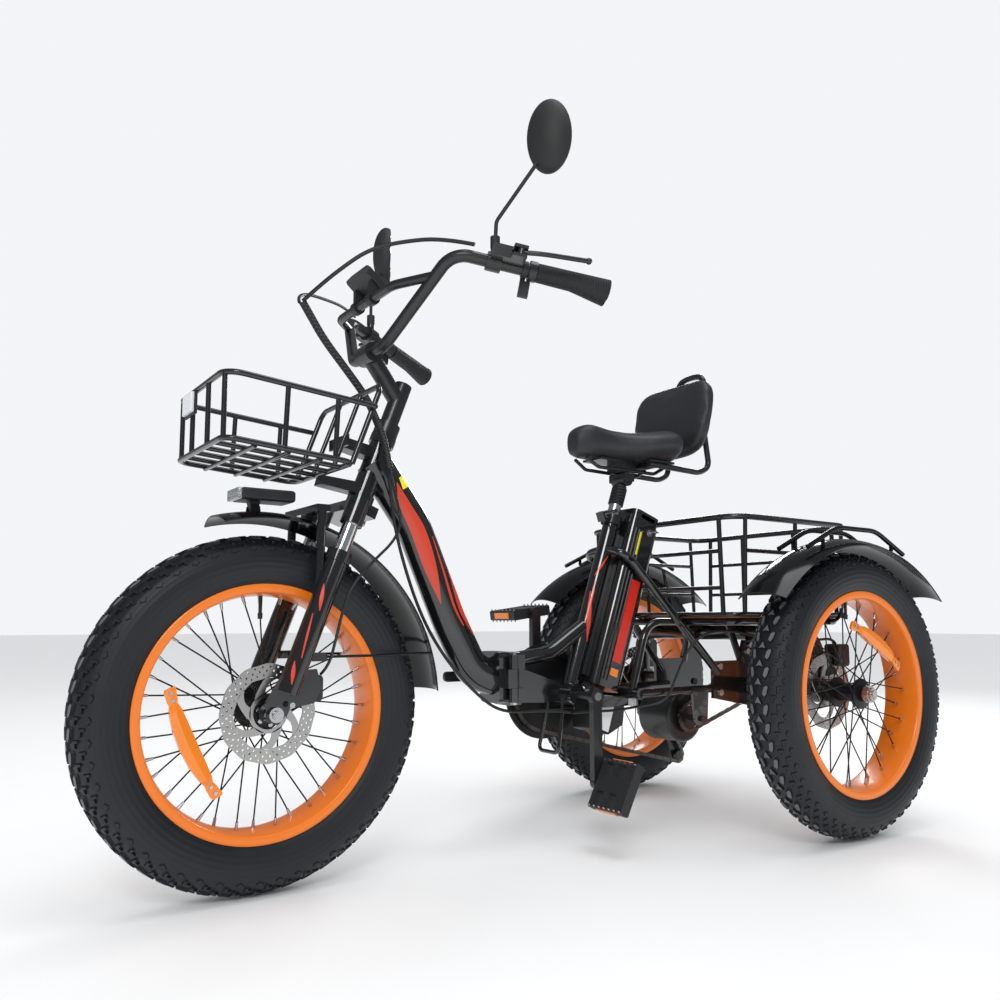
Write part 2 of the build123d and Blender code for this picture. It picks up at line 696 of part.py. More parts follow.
def basket_board():
    board = block(-192, 206, -228, 228, 448.2, 450.9)
    return fillet(board.edges().filter_by(Axis.Z), 25).solid()


def battery_plane():
    back = (-math.sin(SA), 0, -math.cos(SA))
    up = (-math.cos(SA), 0, math.sin(SA))
    return Plane(origin=seat(0), x_dir=back, z_dir=up)


def battery():
    """The long battery pack behind the seat tube, with its capped top."""
    plane = battery_plane()
    case = local_block(plane, 25, 107, -43.5, 43.5, 46, 420)
    case = fillet(case.edges().filter_by(Axis(origin=(0, 0, 0), direction=plane.z_dir)), 16).solid()
    grooves = []
    for back in (36, 46, 56):
        for y in (-43.5, 43.5):
            grooves.append(local_block(plane, back, back + 3.5, y - 2, y + 2, 60, 405))
    case = case.cut(*grooves)
    cap = local_block(plane, 27, 105, -41.5, 41.5, 420, 446)
    cap = fillet(cap.edges().filter_by(Axis(origin=(0, 0, 0), direction=plane.z_dir)), 15).solid()
    grip_gap = local_block(plane, 46, 88, -60, 60, 430, 440)
    lock = cyl(seat(405, 78, 40), seat(405, 78, 45), 9)
    body = fuse(case.solid(), cap, lock)
    key_hole = cyl(seat(405, 78, 38), seat(405, 78, 46), 2.05)
    return body.cut(grip_gap).cut(key_hole).solid()


def battery_key():
    x, y, z = seat(405, 78, 38.2)
    blade = cyl((x, y, z), (x, y + 16, z), 2)
    bow = cyl((x, y + 21, z - 1.3), (x, y + 21, z + 1.3), 9)
    return fuse(blade, bow).solid()


def battery_cradle():
    """Slide rail on the seat tube and the control box under the battery."""
    plane = battery_plane()
    rail = local_block(plane, SEAT_TUBE_R - 2, 24.6, -12, 12, 60, 380)
    rail = rail.cut(cyl(seat(20), seat(411), SEAT_TUBE_R)).solid()
    box = plate([(436, 286), (350, 262), (356, 222), (398, 204), (430, 214)], -38, 38)
    box = fillet(box.edges().filter_by(Axis.Y), 6).solid()
    return [rail, box]


def chain(circles, y0, y1, half):
    """A closed chain round several sprockets, as a plain band."""
    outer = Sketch() + [Pos(x, z) * Circle(r + half) for x, z, r in circles]
    inner = Sketch() + [Pos(x, z) * Circle(r - half) for x, z, r in circles]
    band = make_hull(outer.edges()) - make_hull(inner.edges())
    solid = extrude(band, y1 - y0)
    return (Pos(0, y1, 0) * Rot(90, 0, 0) * solid).solid()


def crank_chain():
    return chain([(BB[0], BB[2], 84), (MOTOR[0], MOTOR[2], 34), (86, 124, 15)], -65, -59, 3.8)


def axle_chain():
    return chain([(0, WHEEL_R, 42), (MOTOR[0], MOTOR[2], 30)], 51, 57, 3.8)


def derailleur():
    cage = plate([(99, 186), (118, 176), (98, 118), (84, 108), (72, 118), (80, 168)], -71.5, -69)
    pulley = cyl((86, -70, 124), (86, -58, 124), 10.5)
    top = cyl((100, -95, 178), (100, -69, 178), 8)
    arm = plate([(92, 170), (108, 170), (152, 226), (144, 238)], -95, -90.2)
    return fuse(cage, pulley, top, arm).solid()


def motor_drum():
    drum = fillet(cyl((MOTOR[0], -52, MOTOR[2]), (MOTOR[0], 44, MOTOR[2]), 56).edges(), 8).solid()
    shaft = cyl((MOTOR[0], -96, MOTOR[2]), (MOTOR[0], 96, MOTOR[2]), 6)
    left = cyl((MOTOR[0], 44, MOTOR[2]), (MOTOR[0], 57, MOTOR[2]), 18)
    left_cog = cyl((MOTOR[0], 52.5, MOTOR[2]), (MOTOR[0], 55.5, MOTOR[2]), 25.5)
    cogs = [cyl((MOTOR[0], -56 - 4 * k, MOTOR[2]), (MOTOR[0], -54 - 4 * k, MOTOR[2]), 29.5 - 1.5 * k) for k in range(5)]
    right = cyl((MOTOR[0], -74, MOTOR[2]), (MOTOR[0], -52, MOTOR[2]), 17)
    return fuse(drum, shaft, left, left_cog, right, *cogs).solid()


def drive_cog():
    return cyl((0, 52.5, WHEEL_R), (0, 55.5, WHEEL_R), 37.5)


def crank_arm(side, down):
    y0, y1 = (92, 105) if side > 0 else (-105, -92)
    tip = BB[2] - CRANK if down else BB[2] + CRANK
    low, high = min(tip, BB[2]), max(tip, BB[2])
    arm = block(BB[0] - 11, BB[0] + 11, y0, y1, low, high)
    ends = [cyl((BB[0], y0, z), (BB[0], y1, z), r) for z, r in ((BB[2], 16), (tip, 12))]
    body = fuse(arm, *ends)
    return body.cut(cyl((BB[0], y0 - 5, tip), (BB[0], y1 + 5, tip), 6.05)).solid()


def crankset():
    spindle = cyl((BB[0], -95, BB[2]), (BB[0], 95, BB[2]), SHAFT_R)
    ring = cyl((BB[0], -63.5, BB[2]), (BB[0], -60.5, BB[2]), 79.5)
    guard = cyl((BB[0], -71, BB[2]), (BB[0], -68.5, BB[2]), 101)
    spider = cyl((BB[0], -92, BB[2]), (BB[0], -52, BB[2]), 26)
    body = fuse(spindle, ring, guard, spider, crank_arm(1, True), crank_arm(-1, False))
    for z, y0, y1 in ((BB[2] - CRANK, 80, 110), (BB[2] + CRANK, -110, -80)):
        body = body.cut(cyl((BB[0], y0, z), (BB[0], y1, z), 6.05))
    return body.solid()


def pedal(side, z, tilt):
    """A platform pedal with its spindle, turned to tilt degrees."""
    spindle = cyl((0, 0, 0), (0, side * 104, 0), 6)
    deck = block(-50, 50, *sorted((side * 16, side * 108)), -11, 11)
    deck = fillet(deck.edges().filter_by(Axis.Y), 4).solid()
    for x in (-29, 29):
        for y in (39, 74):
            deck = deck.cut(block(x - 13, x + 13, side * y - 11, side * y + 11, -20, 20))
    body = fuse(spindle, deck.solid())
    return (Pos(BB[0], side * 92, z) * Rot(0, tilt, 0) * body).solid()


# ---------------------------------------------------------------- seat


def seat_post():
    return cyl(seat(180), seat(452), POST_R).cut(cyl(seat(305), seat(460), 10.05)).solid()


def post_head():
    shaft = cyl(seat(340), seat(512), 10)
    top = cyl(seat(506, 0, -20), seat(506, 0, 20), 15)
    yoke = block(298, 326, -26, 26, 752, 769.8)
    return fuse(shaft, top, yoke).solid()


def seat_boot():
    """The ribbed sleeve over the sprung part of the seat post."""
    ribs = [cyl(seat(445 + 7 * k), seat(449.5 + 7 * k), 17) for k in range(6)]
    body = fuse(cyl(seat(444), seat(490.6), 15), *ribs)
    body = body.cut(cyl(seat(440), seat(478), POST_R + 0.05))
    return body.cut(cyl(seat(470), seat(495), 10)).solid()


def saddle():
    """The broad saddle as one plain closed cushion."""
    pts = [(186, 60), (196, 104), (240, 120), (300, 112), (350, 84), (400, 56), (446, 42), (462, 20)]
    ring = [Vector(x, y, 798) for x, y in pts] + [Vector(x, -y, 798) for x, y in reversed(pts)]
    outline = Face(Wire.make_polygon(ring))
    pad = Solid.extrude(outline, Vector(0, 0, 76))
    return fillet(pad.edges().filter_by(Axis.Z), 9).solid()


def saddle_frame():
    """Saddle rails, the two bent bars of the backrest and its plate."""
    rail = tube([(432, 18, 794), (400, 22, 776), (240, 30, 774), (205, 34, 794)], [22, 22], 4)
    bar = tube([(290, 64, 788), (128, 64, 783), (94, 64, 800), (111.5, 64, 905)], [60, 22], 6.5)
    cross = cyl((270, -66, 788), (270, 66, 788), 6.5)
    floor_plate = block(215, 400, -30, 30, 793, 797.8)
    rear_plate = block(215, 290, -70, 70, 793, 797.8)
    middle = block(296, 328, -30, 30, 772.5, 794)
    body = fuse(floor_plate, rear_plate, middle, cross, *left_right(rail), *left_right(bar))
    return body.solid()


def backrest():
    plane = Plane(origin=(138, 0, 918), x_dir=(0, 1, 0), z_dir=(0.985, 0, 0.174))
    pad = (plane * Box(252, 190, 42)).solid()
    pad = fillet(pad.edges().filter_by(Axis(origin=(0, 0, 0), direction=plane.z_dir)), 55)
    foot = [(110, 42, 948), (84, 42, 972), (78, 40, 1030)]
    handle = tube(foot + [(x, -y, z) for x, y, z in reversed(foot)], [12, 26, 26, 12], 6)
    return fuse(pad.solid(), handle).solid()


# ---------------------------------------------------------------- cables


def control_cables():
    """The wrapped bundle, the cables from each grip, and the front brake hose."""
    bundle = [(1090, 24, 1001), (1071, 22, 975), (1046, 21, 940), (1002, 21, 893)]
    bundle += [(962, 24, 846), (946, 36, 800), (938, 52, 760), (932, 58, 712)]
    left = [(864, 232, 1086), (905, 190, 1103), (960, 142, 1100), (1005, 108, 1087)]
    left += [(1047, 78, 1050), (1077, 48, 1018), (1090, 26, 1002)]
    right = [(868, -230, 1094), (915, -180, 1090), (985, -118, 1072)]
    right += [(1046, -66, 1054), (1082, -20, 1026), (1092, 14, 1003)]
    hose = [(933, 62, 712), (925, 66, 668), (914, 74, 622), (936, 90, 582), (982, 103, 545)]
    hose += [(1022, 106, 505), (1040, 104, 460), (1046, 92, 410), (1049, 72, 366), (1054, 52, 353)]
    return [cord(bundle, 6.5), cord(left, 3.5), cord(right, 3), cord(hose, 2.5)]


def frame_cables():
    spine = [(927, 48, 704), (916, 38, 640), (889, 33, 548), (846, 32, 443), (789, 32, 362), (722, 30, 300)]
    hinge = [(668, 26, 267), (600, 20, 262), (545, 32, 262), (503, 43, 257)]
    return [cord(spine + hinge, 3)]


def rear_brake_cables():
    low = [(500, 44, 256), (450, 50, 256), (390, 53, 255), (332, 62, 261), (284, 97, 270), (262, 103, 320)]
    high = [(236, 120, 388), (196, 136, 419), (140, 160, 421), (88, 196, 405)]
    high += [(46, 238, 398), (14, 283, 402), (-20, 293, 404), (-38, 287, 393)]
    return left_right(cord(low + high, 2.8))


def make_wheels():
    save("front_tyre", tyre(AXLE))
    save("front_rim", rim(AXLE))
    save("front_hub", front_hub())
    save("front_rotor", rotor(AXLE, 50.1, 52.1, 17.1))
    for side, name, inner in ((1, "left", 49), (-1, "right", 80)):
        c = (0, side * REAR_Y, WHEEL_R)
        save(f"{name}_tyre", tyre(c))
        save(f"{name}_rim", rim(c))
        hub = rear_hub(side, inner)
        if side > 0:
            hub = fuse(hub, drive_cog()).solid()
        save(f"{name}_hub", hub)
        y = sorted((side * 288.0, side * 290.0))
        save(f"{name}_rotor", rotor(c, y[0], y[1], 14.1))


def make_front():
    save("fork_crown", crown_lugs())
    save("fork_stanchions", *stanchions())
    save("fork_lowers", fork_lowers())
    save("front_axle", front_axle())
    save("front_fender", front_fender())
    save("headlight", headlight())
    save("front_caliper", front_caliper())
    save("steering_post", steering_post())
    save("handlebar", handlebar())
    save("grips", *grips())
    save("lever_perches", *lever_perches())
    save("brake_lever_left", brake_lever())
    save("brake_lever_right", mirror(brake_lever(), about=Plane.XZ))
    save("throttle", throttle())
    save("shifter", shifter())
    save("mirror_left", mirror_piece())
    save("mirror_right", mirror(mirror_piece(), about=Plane.XZ))
    save("display", display())
    save("control_cables", *control_cables())
    save("front_frame", front_frame())
    save("fold_latch", fold_latch())
    save("front_basket", front_basket())
    save("basket_brackets", *basket_brackets())
    save("frame_cables", *frame_cables())


def make_rear():
    save("rear_frame", rear_frame())
    save("seat_collar", seat_collar())
    save("seat_lever", seat_lever())
    save("rear_calipers", *rear_calipers())
    save("rear_fenders", *left_right(rear_fender()))
    save("rear_basket", rear_basket())
    save("basket_board", basket_board())
    save("battery", battery())
    save("battery_key", battery_key())
    save("battery_cradle", *battery_cradle())
    save("crank_chain", crank_chain())
    save("axle_chain", axle_chain())
    save("derailleur", derailleur())
    save("motor_drum", motor_drum())
    save("crankset", crankset())
    save("pedal_left", pedal(1, BB[2] - CRANK, 62))
    save("pedal_right", pedal(-1, BB[2] + CRANK, 8))
    save("seat_post", seat_post())
    save("post_head", post_head())
    save("seat_boot", seat_boot())
    save("saddle", saddle())
    save("saddle_frame", saddle_frame())
    save("backrest", backrest())
    save("rear_brake_cables", *rear_brake_cables())


make_wheels()
make_front()
make_rear()
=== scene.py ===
import math

import bmesh
import bpy
from mathutils import Matrix, Vector, geometry
from mathutils.bvhtree import BVHTree


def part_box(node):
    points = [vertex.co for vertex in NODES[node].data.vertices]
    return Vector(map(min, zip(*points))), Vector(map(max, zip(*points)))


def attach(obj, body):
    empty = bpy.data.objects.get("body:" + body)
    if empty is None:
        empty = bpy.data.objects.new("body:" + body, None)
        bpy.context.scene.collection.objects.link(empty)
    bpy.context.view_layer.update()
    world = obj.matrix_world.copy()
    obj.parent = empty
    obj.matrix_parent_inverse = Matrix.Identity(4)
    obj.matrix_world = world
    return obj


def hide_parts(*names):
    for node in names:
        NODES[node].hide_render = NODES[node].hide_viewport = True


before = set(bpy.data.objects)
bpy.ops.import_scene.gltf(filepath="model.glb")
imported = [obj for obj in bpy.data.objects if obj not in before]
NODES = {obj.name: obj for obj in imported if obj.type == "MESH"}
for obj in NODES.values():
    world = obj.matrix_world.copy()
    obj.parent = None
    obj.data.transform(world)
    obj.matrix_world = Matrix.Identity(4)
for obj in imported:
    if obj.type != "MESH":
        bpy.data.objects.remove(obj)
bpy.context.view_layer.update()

# ------------------------------------------------------------ places and sizes


def middle(node):
    low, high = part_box(node)
    return (Vector(low) + Vector(high)) / 2


FRONT_HUB = middle("front_rim")
LEFT_HUB = middle("left_rim")
RIGHT_HUB = middle("right_rim")
REAR_AXLE_X = LEFT_HUB.x
WHEELS = (
    ("front", FRONT_HUB, "front_wheel", 0.030, 0.026),
    ("left", LEFT_HUB, "left_wheel", 0.027, 0.027),
    ("right", RIGHT_HUB, "right_wheel", 0.027, 0.027),
)
SPOKES = 36
SPOKE_REACH = 0.1897
TREAD_PITCHES = 52
CROWN_R = 45


def at(x, y, z):
    """A place in millimetres ahead of the rear axle, to the left, and up."""
    return Vector((REAR_AXLE_X + x / 1000, y / 1000, z / 1000))


SEAT_ANGLE = math.radians(70.56)
SEAT_FOOT_X, SEAT_FOOT_Z = 480, 280
HEAD_ANGLE = math.radians(69)
FORK_FOOT_X, FORK_FOOT_Z = 1107.52, 279.38


def seat_line(up, back=0.0, y=0.0):
    """A place in millimetres up the seat tube and behind it."""
    x = SEAT_FOOT_X - up * math.cos(SEAT_ANGLE) - back * math.sin(SEAT_ANGLE)
    z = SEAT_FOOT_Z + up * math.sin(SEAT_ANGLE) - back * math.cos(SEAT_ANGLE)
    return at(x, y, z)


def fork_line(up, ahead=0.0, y=0.0):
    """A place in millimetres up the steering axis and ahead of it."""
    x = FORK_FOOT_X - up * math.cos(HEAD_ANGLE) + ahead * math.sin(HEAD_ANGLE)
    z = FORK_FOOT_Z + up * math.sin(HEAD_ANGLE) + ahead * math.cos(HEAD_ANGLE)
    return at(x, y, z)


# ------------------------------------------------------------------ materials


def material(name, colour, rough, metal=0.0, coat=0.0, grain=700.0, bump=0.05, vary=0.15, **sockets):
    """A shader whose colour, roughness and relief all vary with fine noise."""
    made = bpy.data.materials.new(name)
    made.use_nodes = True
    tree = made.node_tree
    shader = tree.nodes["Principled BSDF"]
    place = tree.nodes.new("ShaderNodeTexCoord")
    fine = tree.nodes.new("ShaderNodeTexNoise")
    fine.inputs["Scale"].default_value = grain
    fine.inputs["Detail"].default_value = 4
    broad = tree.nodes.new("ShaderNodeTexNoise")
    broad.inputs["Scale"].default_value = 9
    broad.inputs["Detail"].default_value = 5
    tint = tree.nodes.new("ShaderNodeMix")
    tint.data_type = "RGBA"
    tint.inputs["A"].default_value = (*[c * (1 - vary) for c in colour], 1)
    tint.inputs["B"].default_value = (*[min(1, c * (1 + vary)) for c in colour], 1)
    gloss = tree.nodes.new("ShaderNodeMapRange")
    gloss.inputs["To Min"].default_value = max(0.03, rough * (1 - vary))
    gloss.inputs["To Max"].default_value = min(1.0, rough * (1 + vary))
    relief = tree.nodes.new("ShaderNodeBump")
    relief.inputs["Strength"].default_value = bump
    relief.inputs["Distance"].default_value = 0.001
    for texture in (fine, broad):
        tree.links.new(place.outputs["Object"], texture.inputs["Vector"])
    tree.links.new(broad.outputs["Fac"], tint.inputs["Factor"])
    tree.links.new(tint.outputs["Result"], shader.inputs["Base Color"])
    tree.links.new(broad.outputs["Fac"], gloss.inputs["Value"])
    tree.links.new(gloss.outputs["Result"], shader.inputs["Roughness"])
    tree.links.new(fine.outputs["Fac"], relief.inputs["Height"])
    tree.links.new(relief.outputs["Normal"], shader.inputs["Normal"])
    shader.inputs["Metallic"].default_value = metal
    shader.inputs["Coat Weight"].default_value = coat
    shader.inputs["Coat Roughness"].default_value = 0.06
    for socket, value in sockets.items():
        shader.inputs[socket.replace("_", " ")].default_value = value
    return made


def add_relief(made, height, strength, distance=0.001):
    """A second, larger relief under a material's fine grain."""
    tree = made.node_tree
    fine = next(n for n in tree.nodes if n.type == "BUMP")
    coarse = tree.nodes.new("ShaderNodeBump")
    coarse.inputs["Strength"].default_value = strength
    coarse.inputs["Distance"].default_value = distance
    tree.links.new(height, coarse.inputs["Height"])
    tree.links.new(coarse.outputs["Normal"], fine.inputs["Normal"])
    return made


def leatherette():
    """Black vinyl with a pebbled grain."""
    made = material("leatherette", (0.020, 0.021, 0.024), 0.42, grain=2400, bump=0.12, vary=0.18)
    tree = made.node_tree
    place = next(n for n in tree.nodes if n.type == "TEX_COORD")
    pebble = tree.nodes.new("ShaderNodeTexVoronoi")
    pebble.inputs["Scale"].default_value = 620
    tree.links.new(place.outputs["Object"], pebble.inputs["Vector"])
    return add_relief(made, pebble.outputs["Distance"], 0.35, 0.0006)


def ribbed(name, colour, pitch, axis="X", rough=0.6):
    """Rubber or plastic with fine moulded bands along one direction."""
    made = material(name, colour, rough, grain=1500, bump=0.1)
    tree = made.node_tree
    place = next(n for n in tree.nodes if n.type == "TEX_COORD")
    bands = tree.nodes.new("ShaderNodeTexWave")
    bands.bands_direction = axis
    bands.inputs["Scale"].default_value = 0.314 / pitch
    tree.links.new(place.outputs["Object"], bands.inputs["Vector"])
    return add_relief(made, bands.outputs["Fac"], 0.8, 0.0015)


def sidewall_rubber():
    """Tyre rubber with dust on it and faint rings round the sidewall."""
    made = material("tyre_rubber", (0.0062, 0.0082, 0.0115), 0.50, grain=900, bump=0.25, vary=0.35)
    tree = made.node_tree
    place = next(n for n in tree.nodes if n.type == "TEX_COORD")
    parts = tree.nodes.new("ShaderNodeSeparateXYZ")
    flat = tree.nodes.new("ShaderNodeCombineXYZ")
    span = tree.nodes.new("ShaderNodeVectorMath")
    span.operation = "LENGTH"
    rings = tree.nodes.new("ShaderNodeTexWave")
    rings.inputs["Scale"].default_value = 34
    rings.inputs["Distortion"].default_value = 0
    tree.links.new(place.outputs["Object"], parts.inputs["Vector"])
    tree.links.new(parts.outputs["X"], flat.inputs["X"])
    tree.links.new(parts.outputs["Z"], flat.inputs["Z"])
    tree.links.new(flat.outputs["Vector"], span.inputs[0])
    tree.links.new(span.outputs["Value"], rings.inputs["Vector"])
    return add_relief(made, rings.outputs["Fac"], 0.25, 0.0012)


def glass(name, colour, rough=0.03):
    made = material(name, colour, rough, grain=200, bump=0.01, vary=0.03)
    made.node_tree.nodes["Principled BSDF"].inputs["Transmission Weight"].default_value = 0.85
    made.node_tree.nodes["Principled BSDF"].inputs["IOR"].default_value = 1.45
    return made


BLACK = (0.0075, 0.0078, 0.0085)
M = {
    "frame": material("frame_black", BLACK, 0.16, coat=1.0, grain=260, bump=0.015, vary=0.12),
    "satin": material("satin_black", (0.011, 0.0113, 0.012), 0.36, coat=0.3, grain=1400, bump=0.05),
    "basket": material("basket_black", (0.010, 0.0103, 0.011), 0.27, coat=0.6, grain=800, bump=0.05),
    "orange": material("rim_orange", (0.80, 0.180, 0.006), 0.34, coat=0.25, grain=500, bump=0.02, vary=0.05),
    "fender": material(
        "fender_black", (0.005, 0.005, 0.006), 0.13, grain=120, bump=0.01, Specular_IOR_Level=0.32
    ),
    "plastic": material("moulded_plastic", (0.016, 0.0165, 0.018), 0.48, grain=1800, bump=0.18),
    "gloss": material("gloss_plastic", (0.010, 0.010, 0.011), 0.12, coat=0.6, grain=300, bump=0.01),
    "chrome": material("chrome", (0.92, 0.93, 0.94), 0.10, metal=1.0, grain=500, bump=0.01, vary=0.06),
    "steel": material("steel", (0.56, 0.56, 0.57), 0.26, metal=1.0, grain=900, bump=0.04),
    "alloy": material("alloy", (0.62, 0.62, 0.63), 0.30, metal=1.0, grain=1600, bump=0.06),
    "disc": material("brake_disc", (0.46, 0.45, 0.44), 0.28, metal=1.0, grain=1600, bump=0.06),
    "chain": material("oiled_chain", (0.16, 0.145, 0.13), 0.34, metal=1.0, grain=900, bump=0.08, vary=0.4),
    "spoke": material("spoke_black", (0.018, 0.018, 0.02), 0.30, metal=0.6, grain=600, bump=0.02),
    "cable": material("cable_sheath", (0.012, 0.012, 0.013), 0.38, grain=1200, bump=0.05),
    "rubber": material("moulded_rubber", (0.017, 0.017, 0.018), 0.62, grain=1500, bump=0.15),
    "board": material("brown_board", (0.20, 0.075, 0.035), 0.5, grain=160, bump=0.15, vary=0.35),
    "red": material("red_panel", (0.60, 0.022, 0.012), 0.28, coat=0.5, grain=400, bump=0.01, vary=0.06),
    "decal": material("decal_red", (0.60, 0.046, 0.017), 0.28, coat=0.3, grain=300, bump=0.01, vary=0.08),
    "yellow": material("reflective_yellow", (0.80, 0.74, 0.02), 0.35, grain=900, bump=0.05, vary=0.1),
    "white": material("white_label", (0.78, 0.80, 0.82), 0.45, grain=500, bump=0.03, vary=0.05),
    "amber": material("amber_lens", (0.84, 0.215, 0.006), 0.12, coat=0.6, grain=260, bump=0.02, vary=0.12),
    "mirror": material("mirror_glass", (0.82, 0.84, 0.86), 0.03, metal=1.0, grain=60, bump=0.0, vary=0.03),
    "screen": material("screen_glass", (0.012, 0.016, 0.022), 0.06, coat=1.0, grain=60, bump=0.0),
    "lens": glass("clear_lens", (0.92, 0.95, 1.0)),
    "leather": leatherette(),
    "bellows": ribbed("bellows_rubber", (0.014, 0.014, 0.015), 0.007, "Z", 0.5),
    "grip": ribbed("grip_rubber", (0.014, 0.014, 0.015), 0.0042),
    "wrap": ribbed("spiral_wrap", (0.013, 0.013, 0.014), 0.006, "Z", 0.42),
    "tyre": sidewall_rubber(),
    "worn": material("worn_tread", (0.115, 0.120, 0.125), 0.5, grain=1100, bump=0.3, vary=0.35),
}

CAD_FINISH = {
    "frame": "rear_frame front_frame battery",
    "satin": "rear_calipers front_caliper battery_cradle seat_collar seat_lever derailleur basket_brackets "
    "fold_latch lever_perches steering_post post_head crankset motor_drum brake_lever_left "
    "brake_lever_right saddle_frame handlebar",
    "basket": "rear_basket front_basket",
    "fender": "rear_fenders front_fender",
    "gloss": "fork_crown fork_lowers",
    "plastic": "throttle shifter pedal_left pedal_right headlight display",
    "chrome": "fork_stanchions",
    "steel": "front_axle battery_key",
    "alloy": "front_rotor left_rotor right_rotor seat_post",
    "chain": "crank_chain axle_chain",
    "spoke": "front_hub left_hub right_hub",
    "bellows": "seat_boot",
    "rubber": "mirror_left mirror_right",
    "board": "basket_board",
    "grip": "grips",
}


def finish_cad():
    """Gives every slot of each CAD node its finish."""
    for finish, names in CAD_FINISH.items():
        for node in names.split():
            mesh = NODES[node].data
            if not mesh.materials:
                mesh.materials.append(M[finish])
            for k in range(len(mesh.materials)):
                mesh.materials[k] = M[finish]


# -------------------------------------------------------------- mesh building


def piece(name, mesh, finish, body, where=None, stands_for=(), smooth=True):
    """One visual piece, riding on a body and perhaps standing for CAD nodes."""
    made = bpy.data.objects.new(name, mesh)
    bpy.context.scene.collection.objects.link(made)
    if where is not None:
        made.location = where
    if finish:
        mesh.materials.append(M[finish])
    if smooth and hasattr(mesh, "polygons"):
        mesh.polygons.foreach_set("use_smooth", [True] * len(mesh.polygons))
    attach(made, body)
    if stands_for:
        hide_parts(*stands_for)
    return made


def mesh_of(bm, name):
    bmesh.ops.recalc_face_normals(bm, faces=bm.faces)
    mesh = bpy.data.meshes.new(name)
    bm.to_mesh(mesh)
    bm.free()
    return mesh


def lathe(name, outline, turns):
    """A closed outline of (radius, y) points in millimetres spun round the Y axis."""
    bm = bmesh.new()
    rings = []
    for k in range(turns):
        angle = 2 * math.pi * k / turns
        c, s = math.cos(angle) / 1000, math.sin(angle) / 1000
        rings.append([bm.verts.new((r * c, y / 1000, r * s)) for r, y in outline])
    count = len(outline)
    for k, ring in enumerate(rings):
        after = rings[(k + 1) % turns]
        for j in range(count):
            i = (j + 1) % count
            bm.faces.new((ring[j], ring[i], after[i], after[j]))
    return mesh_of(bm, name)


def rod(bm, a, b, radius, radius_b=None, sides=12):
    """A capped rod from a to b, in metres."""
    a, b = Vector(a), Vector(b)
    run = b - a
    turn = run.to_track_quat("Z", "Y").to_matrix().to_4x4()
    place = Matrix.Translation((a + b) / 2) @ turn
    bmesh.ops.create_cone(
        bm,
        cap_ends=True,
        segments=sides,
        radius1=radius,
        radius2=radius if radius_b is None else radius_b,
        depth=run.length,
        matrix=place,
    )


def slab(bm, centre, size, turn=None, bevel=0.0):
    """A box with slightly eased edges, in metres."""
    place = Matrix.Translation(centre) @ (turn or Matrix()) @ Matrix.Diagonal((*size, 1))
    made = bmesh.ops.create_cube(bm, size=1, matrix=place)
    if bevel:
        edges = {e for v in made["verts"] for e in v.link_edges}
        bmesh.ops.bevel(bm, geom=list(edges), offset=bevel, segments=3, profile=0.7, affect="EDGES")


def bolts(name, places, finish, body, radius=0.005, head=0.004):
    """Socket-head bolts, given as (place, outward direction)."""
    bm = bmesh.new()
    for spot, out in places:
        out = Vector(out).normalized()
        rod(bm, spot, spot + out * head, radius, radius * 0.92, 20)
        rod(bm, spot + out * head * 0.9, spot + out * head * 1.02, radius * 0.5, radius * 0.5, 6)
    return piece(name, mesh_of(bm, name), finish, body, smooth=False)


def cable(name, points, radius, finish, body, stands_for=()):
    """A sheathed cable on one smooth curve through given places."""
    curve = bpy.data.curves.new(name, "CURVE")
    curve.dimensions = "3D"
    curve.bevel_depth = radius / 1000
    curve.bevel_resolution = 5
    curve.resolution_u = 16
    curve.use_fill_caps = True
    spline = curve.splines.new("NURBS")
    spline.points.add(len(points) - 1)
    for point, place in zip(spline.points, points):
        point.co = (*at(*place), 1)
    spline.order_u = 3
    spline.use_endpoint_u = True
    return piece(name, curve, finish, body, stands_for=stands_for, smooth=False)


def mirrored(points):
    return [(x, -y, z) for x, y, z in points]


# --------------------------------------------------------------------- wheels


def tyre_section(angle, proud=0.0):
    """Radius and width, in millimetres, at an angle across the tyre's skin."""
    c, s = math.cos(angle), math.sin(angle)
    height = 41.4 * abs(c) ** 0.9 if c > 0 else -60 * abs(c)
    return 246.8 + height + proud * c, 47.4 * s + proud * s


def tyre_point(bm, turn, across, proud=0.0):
    """A vertex on the tyre's skin, a turn round the wheel and an angle across it."""
    r, y = tyre_section(across, proud)
    return bm.verts.new((r * math.cos(turn) / 1000, y / 1000, r * math.sin(turn) / 1000))


def knob(bm, turn, across, outline, height, worn=False):
    """One tread block: an outline of (along, across) millimetres, raised."""
    low, high = [], []
    for a, b in outline:
        for ring, rise, shrink in ((low, -0.6, 1.0), (high, height, 0.78)):
            tilt = across + b * shrink / CROWN_R
            r, _ = tyre_section(tilt, rise)
            ring.append(tyre_point(bm, turn + a * shrink / r, tilt, rise))
    count = len(outline)
    for j in range(count):
        i = (j + 1) % count
        bm.faces.new((low[j], low[i], high[i], high[j])).smooth = False
    crown = bm.faces.new(high)
    crown.smooth = False
    crown.material_index = 1 if worn else 0


# Tread blocks, as (along, across) outlines in millimetres.
ARROW = ((-9, -8.5), (-6.5, 0), (-9, 8.5), (8, 0))
LOZENGE = ((-14, 1), (-8, -4), (8, -1), (13, 5), (9, 8), (-7, 5))
CORNER = ((-7, -6), (7, -6), (7, 6), (2, 6), (2, -1), (-7, -1))
DIAMOND = ((-7, 0), (0, -6), (7, 0), (0, 6))


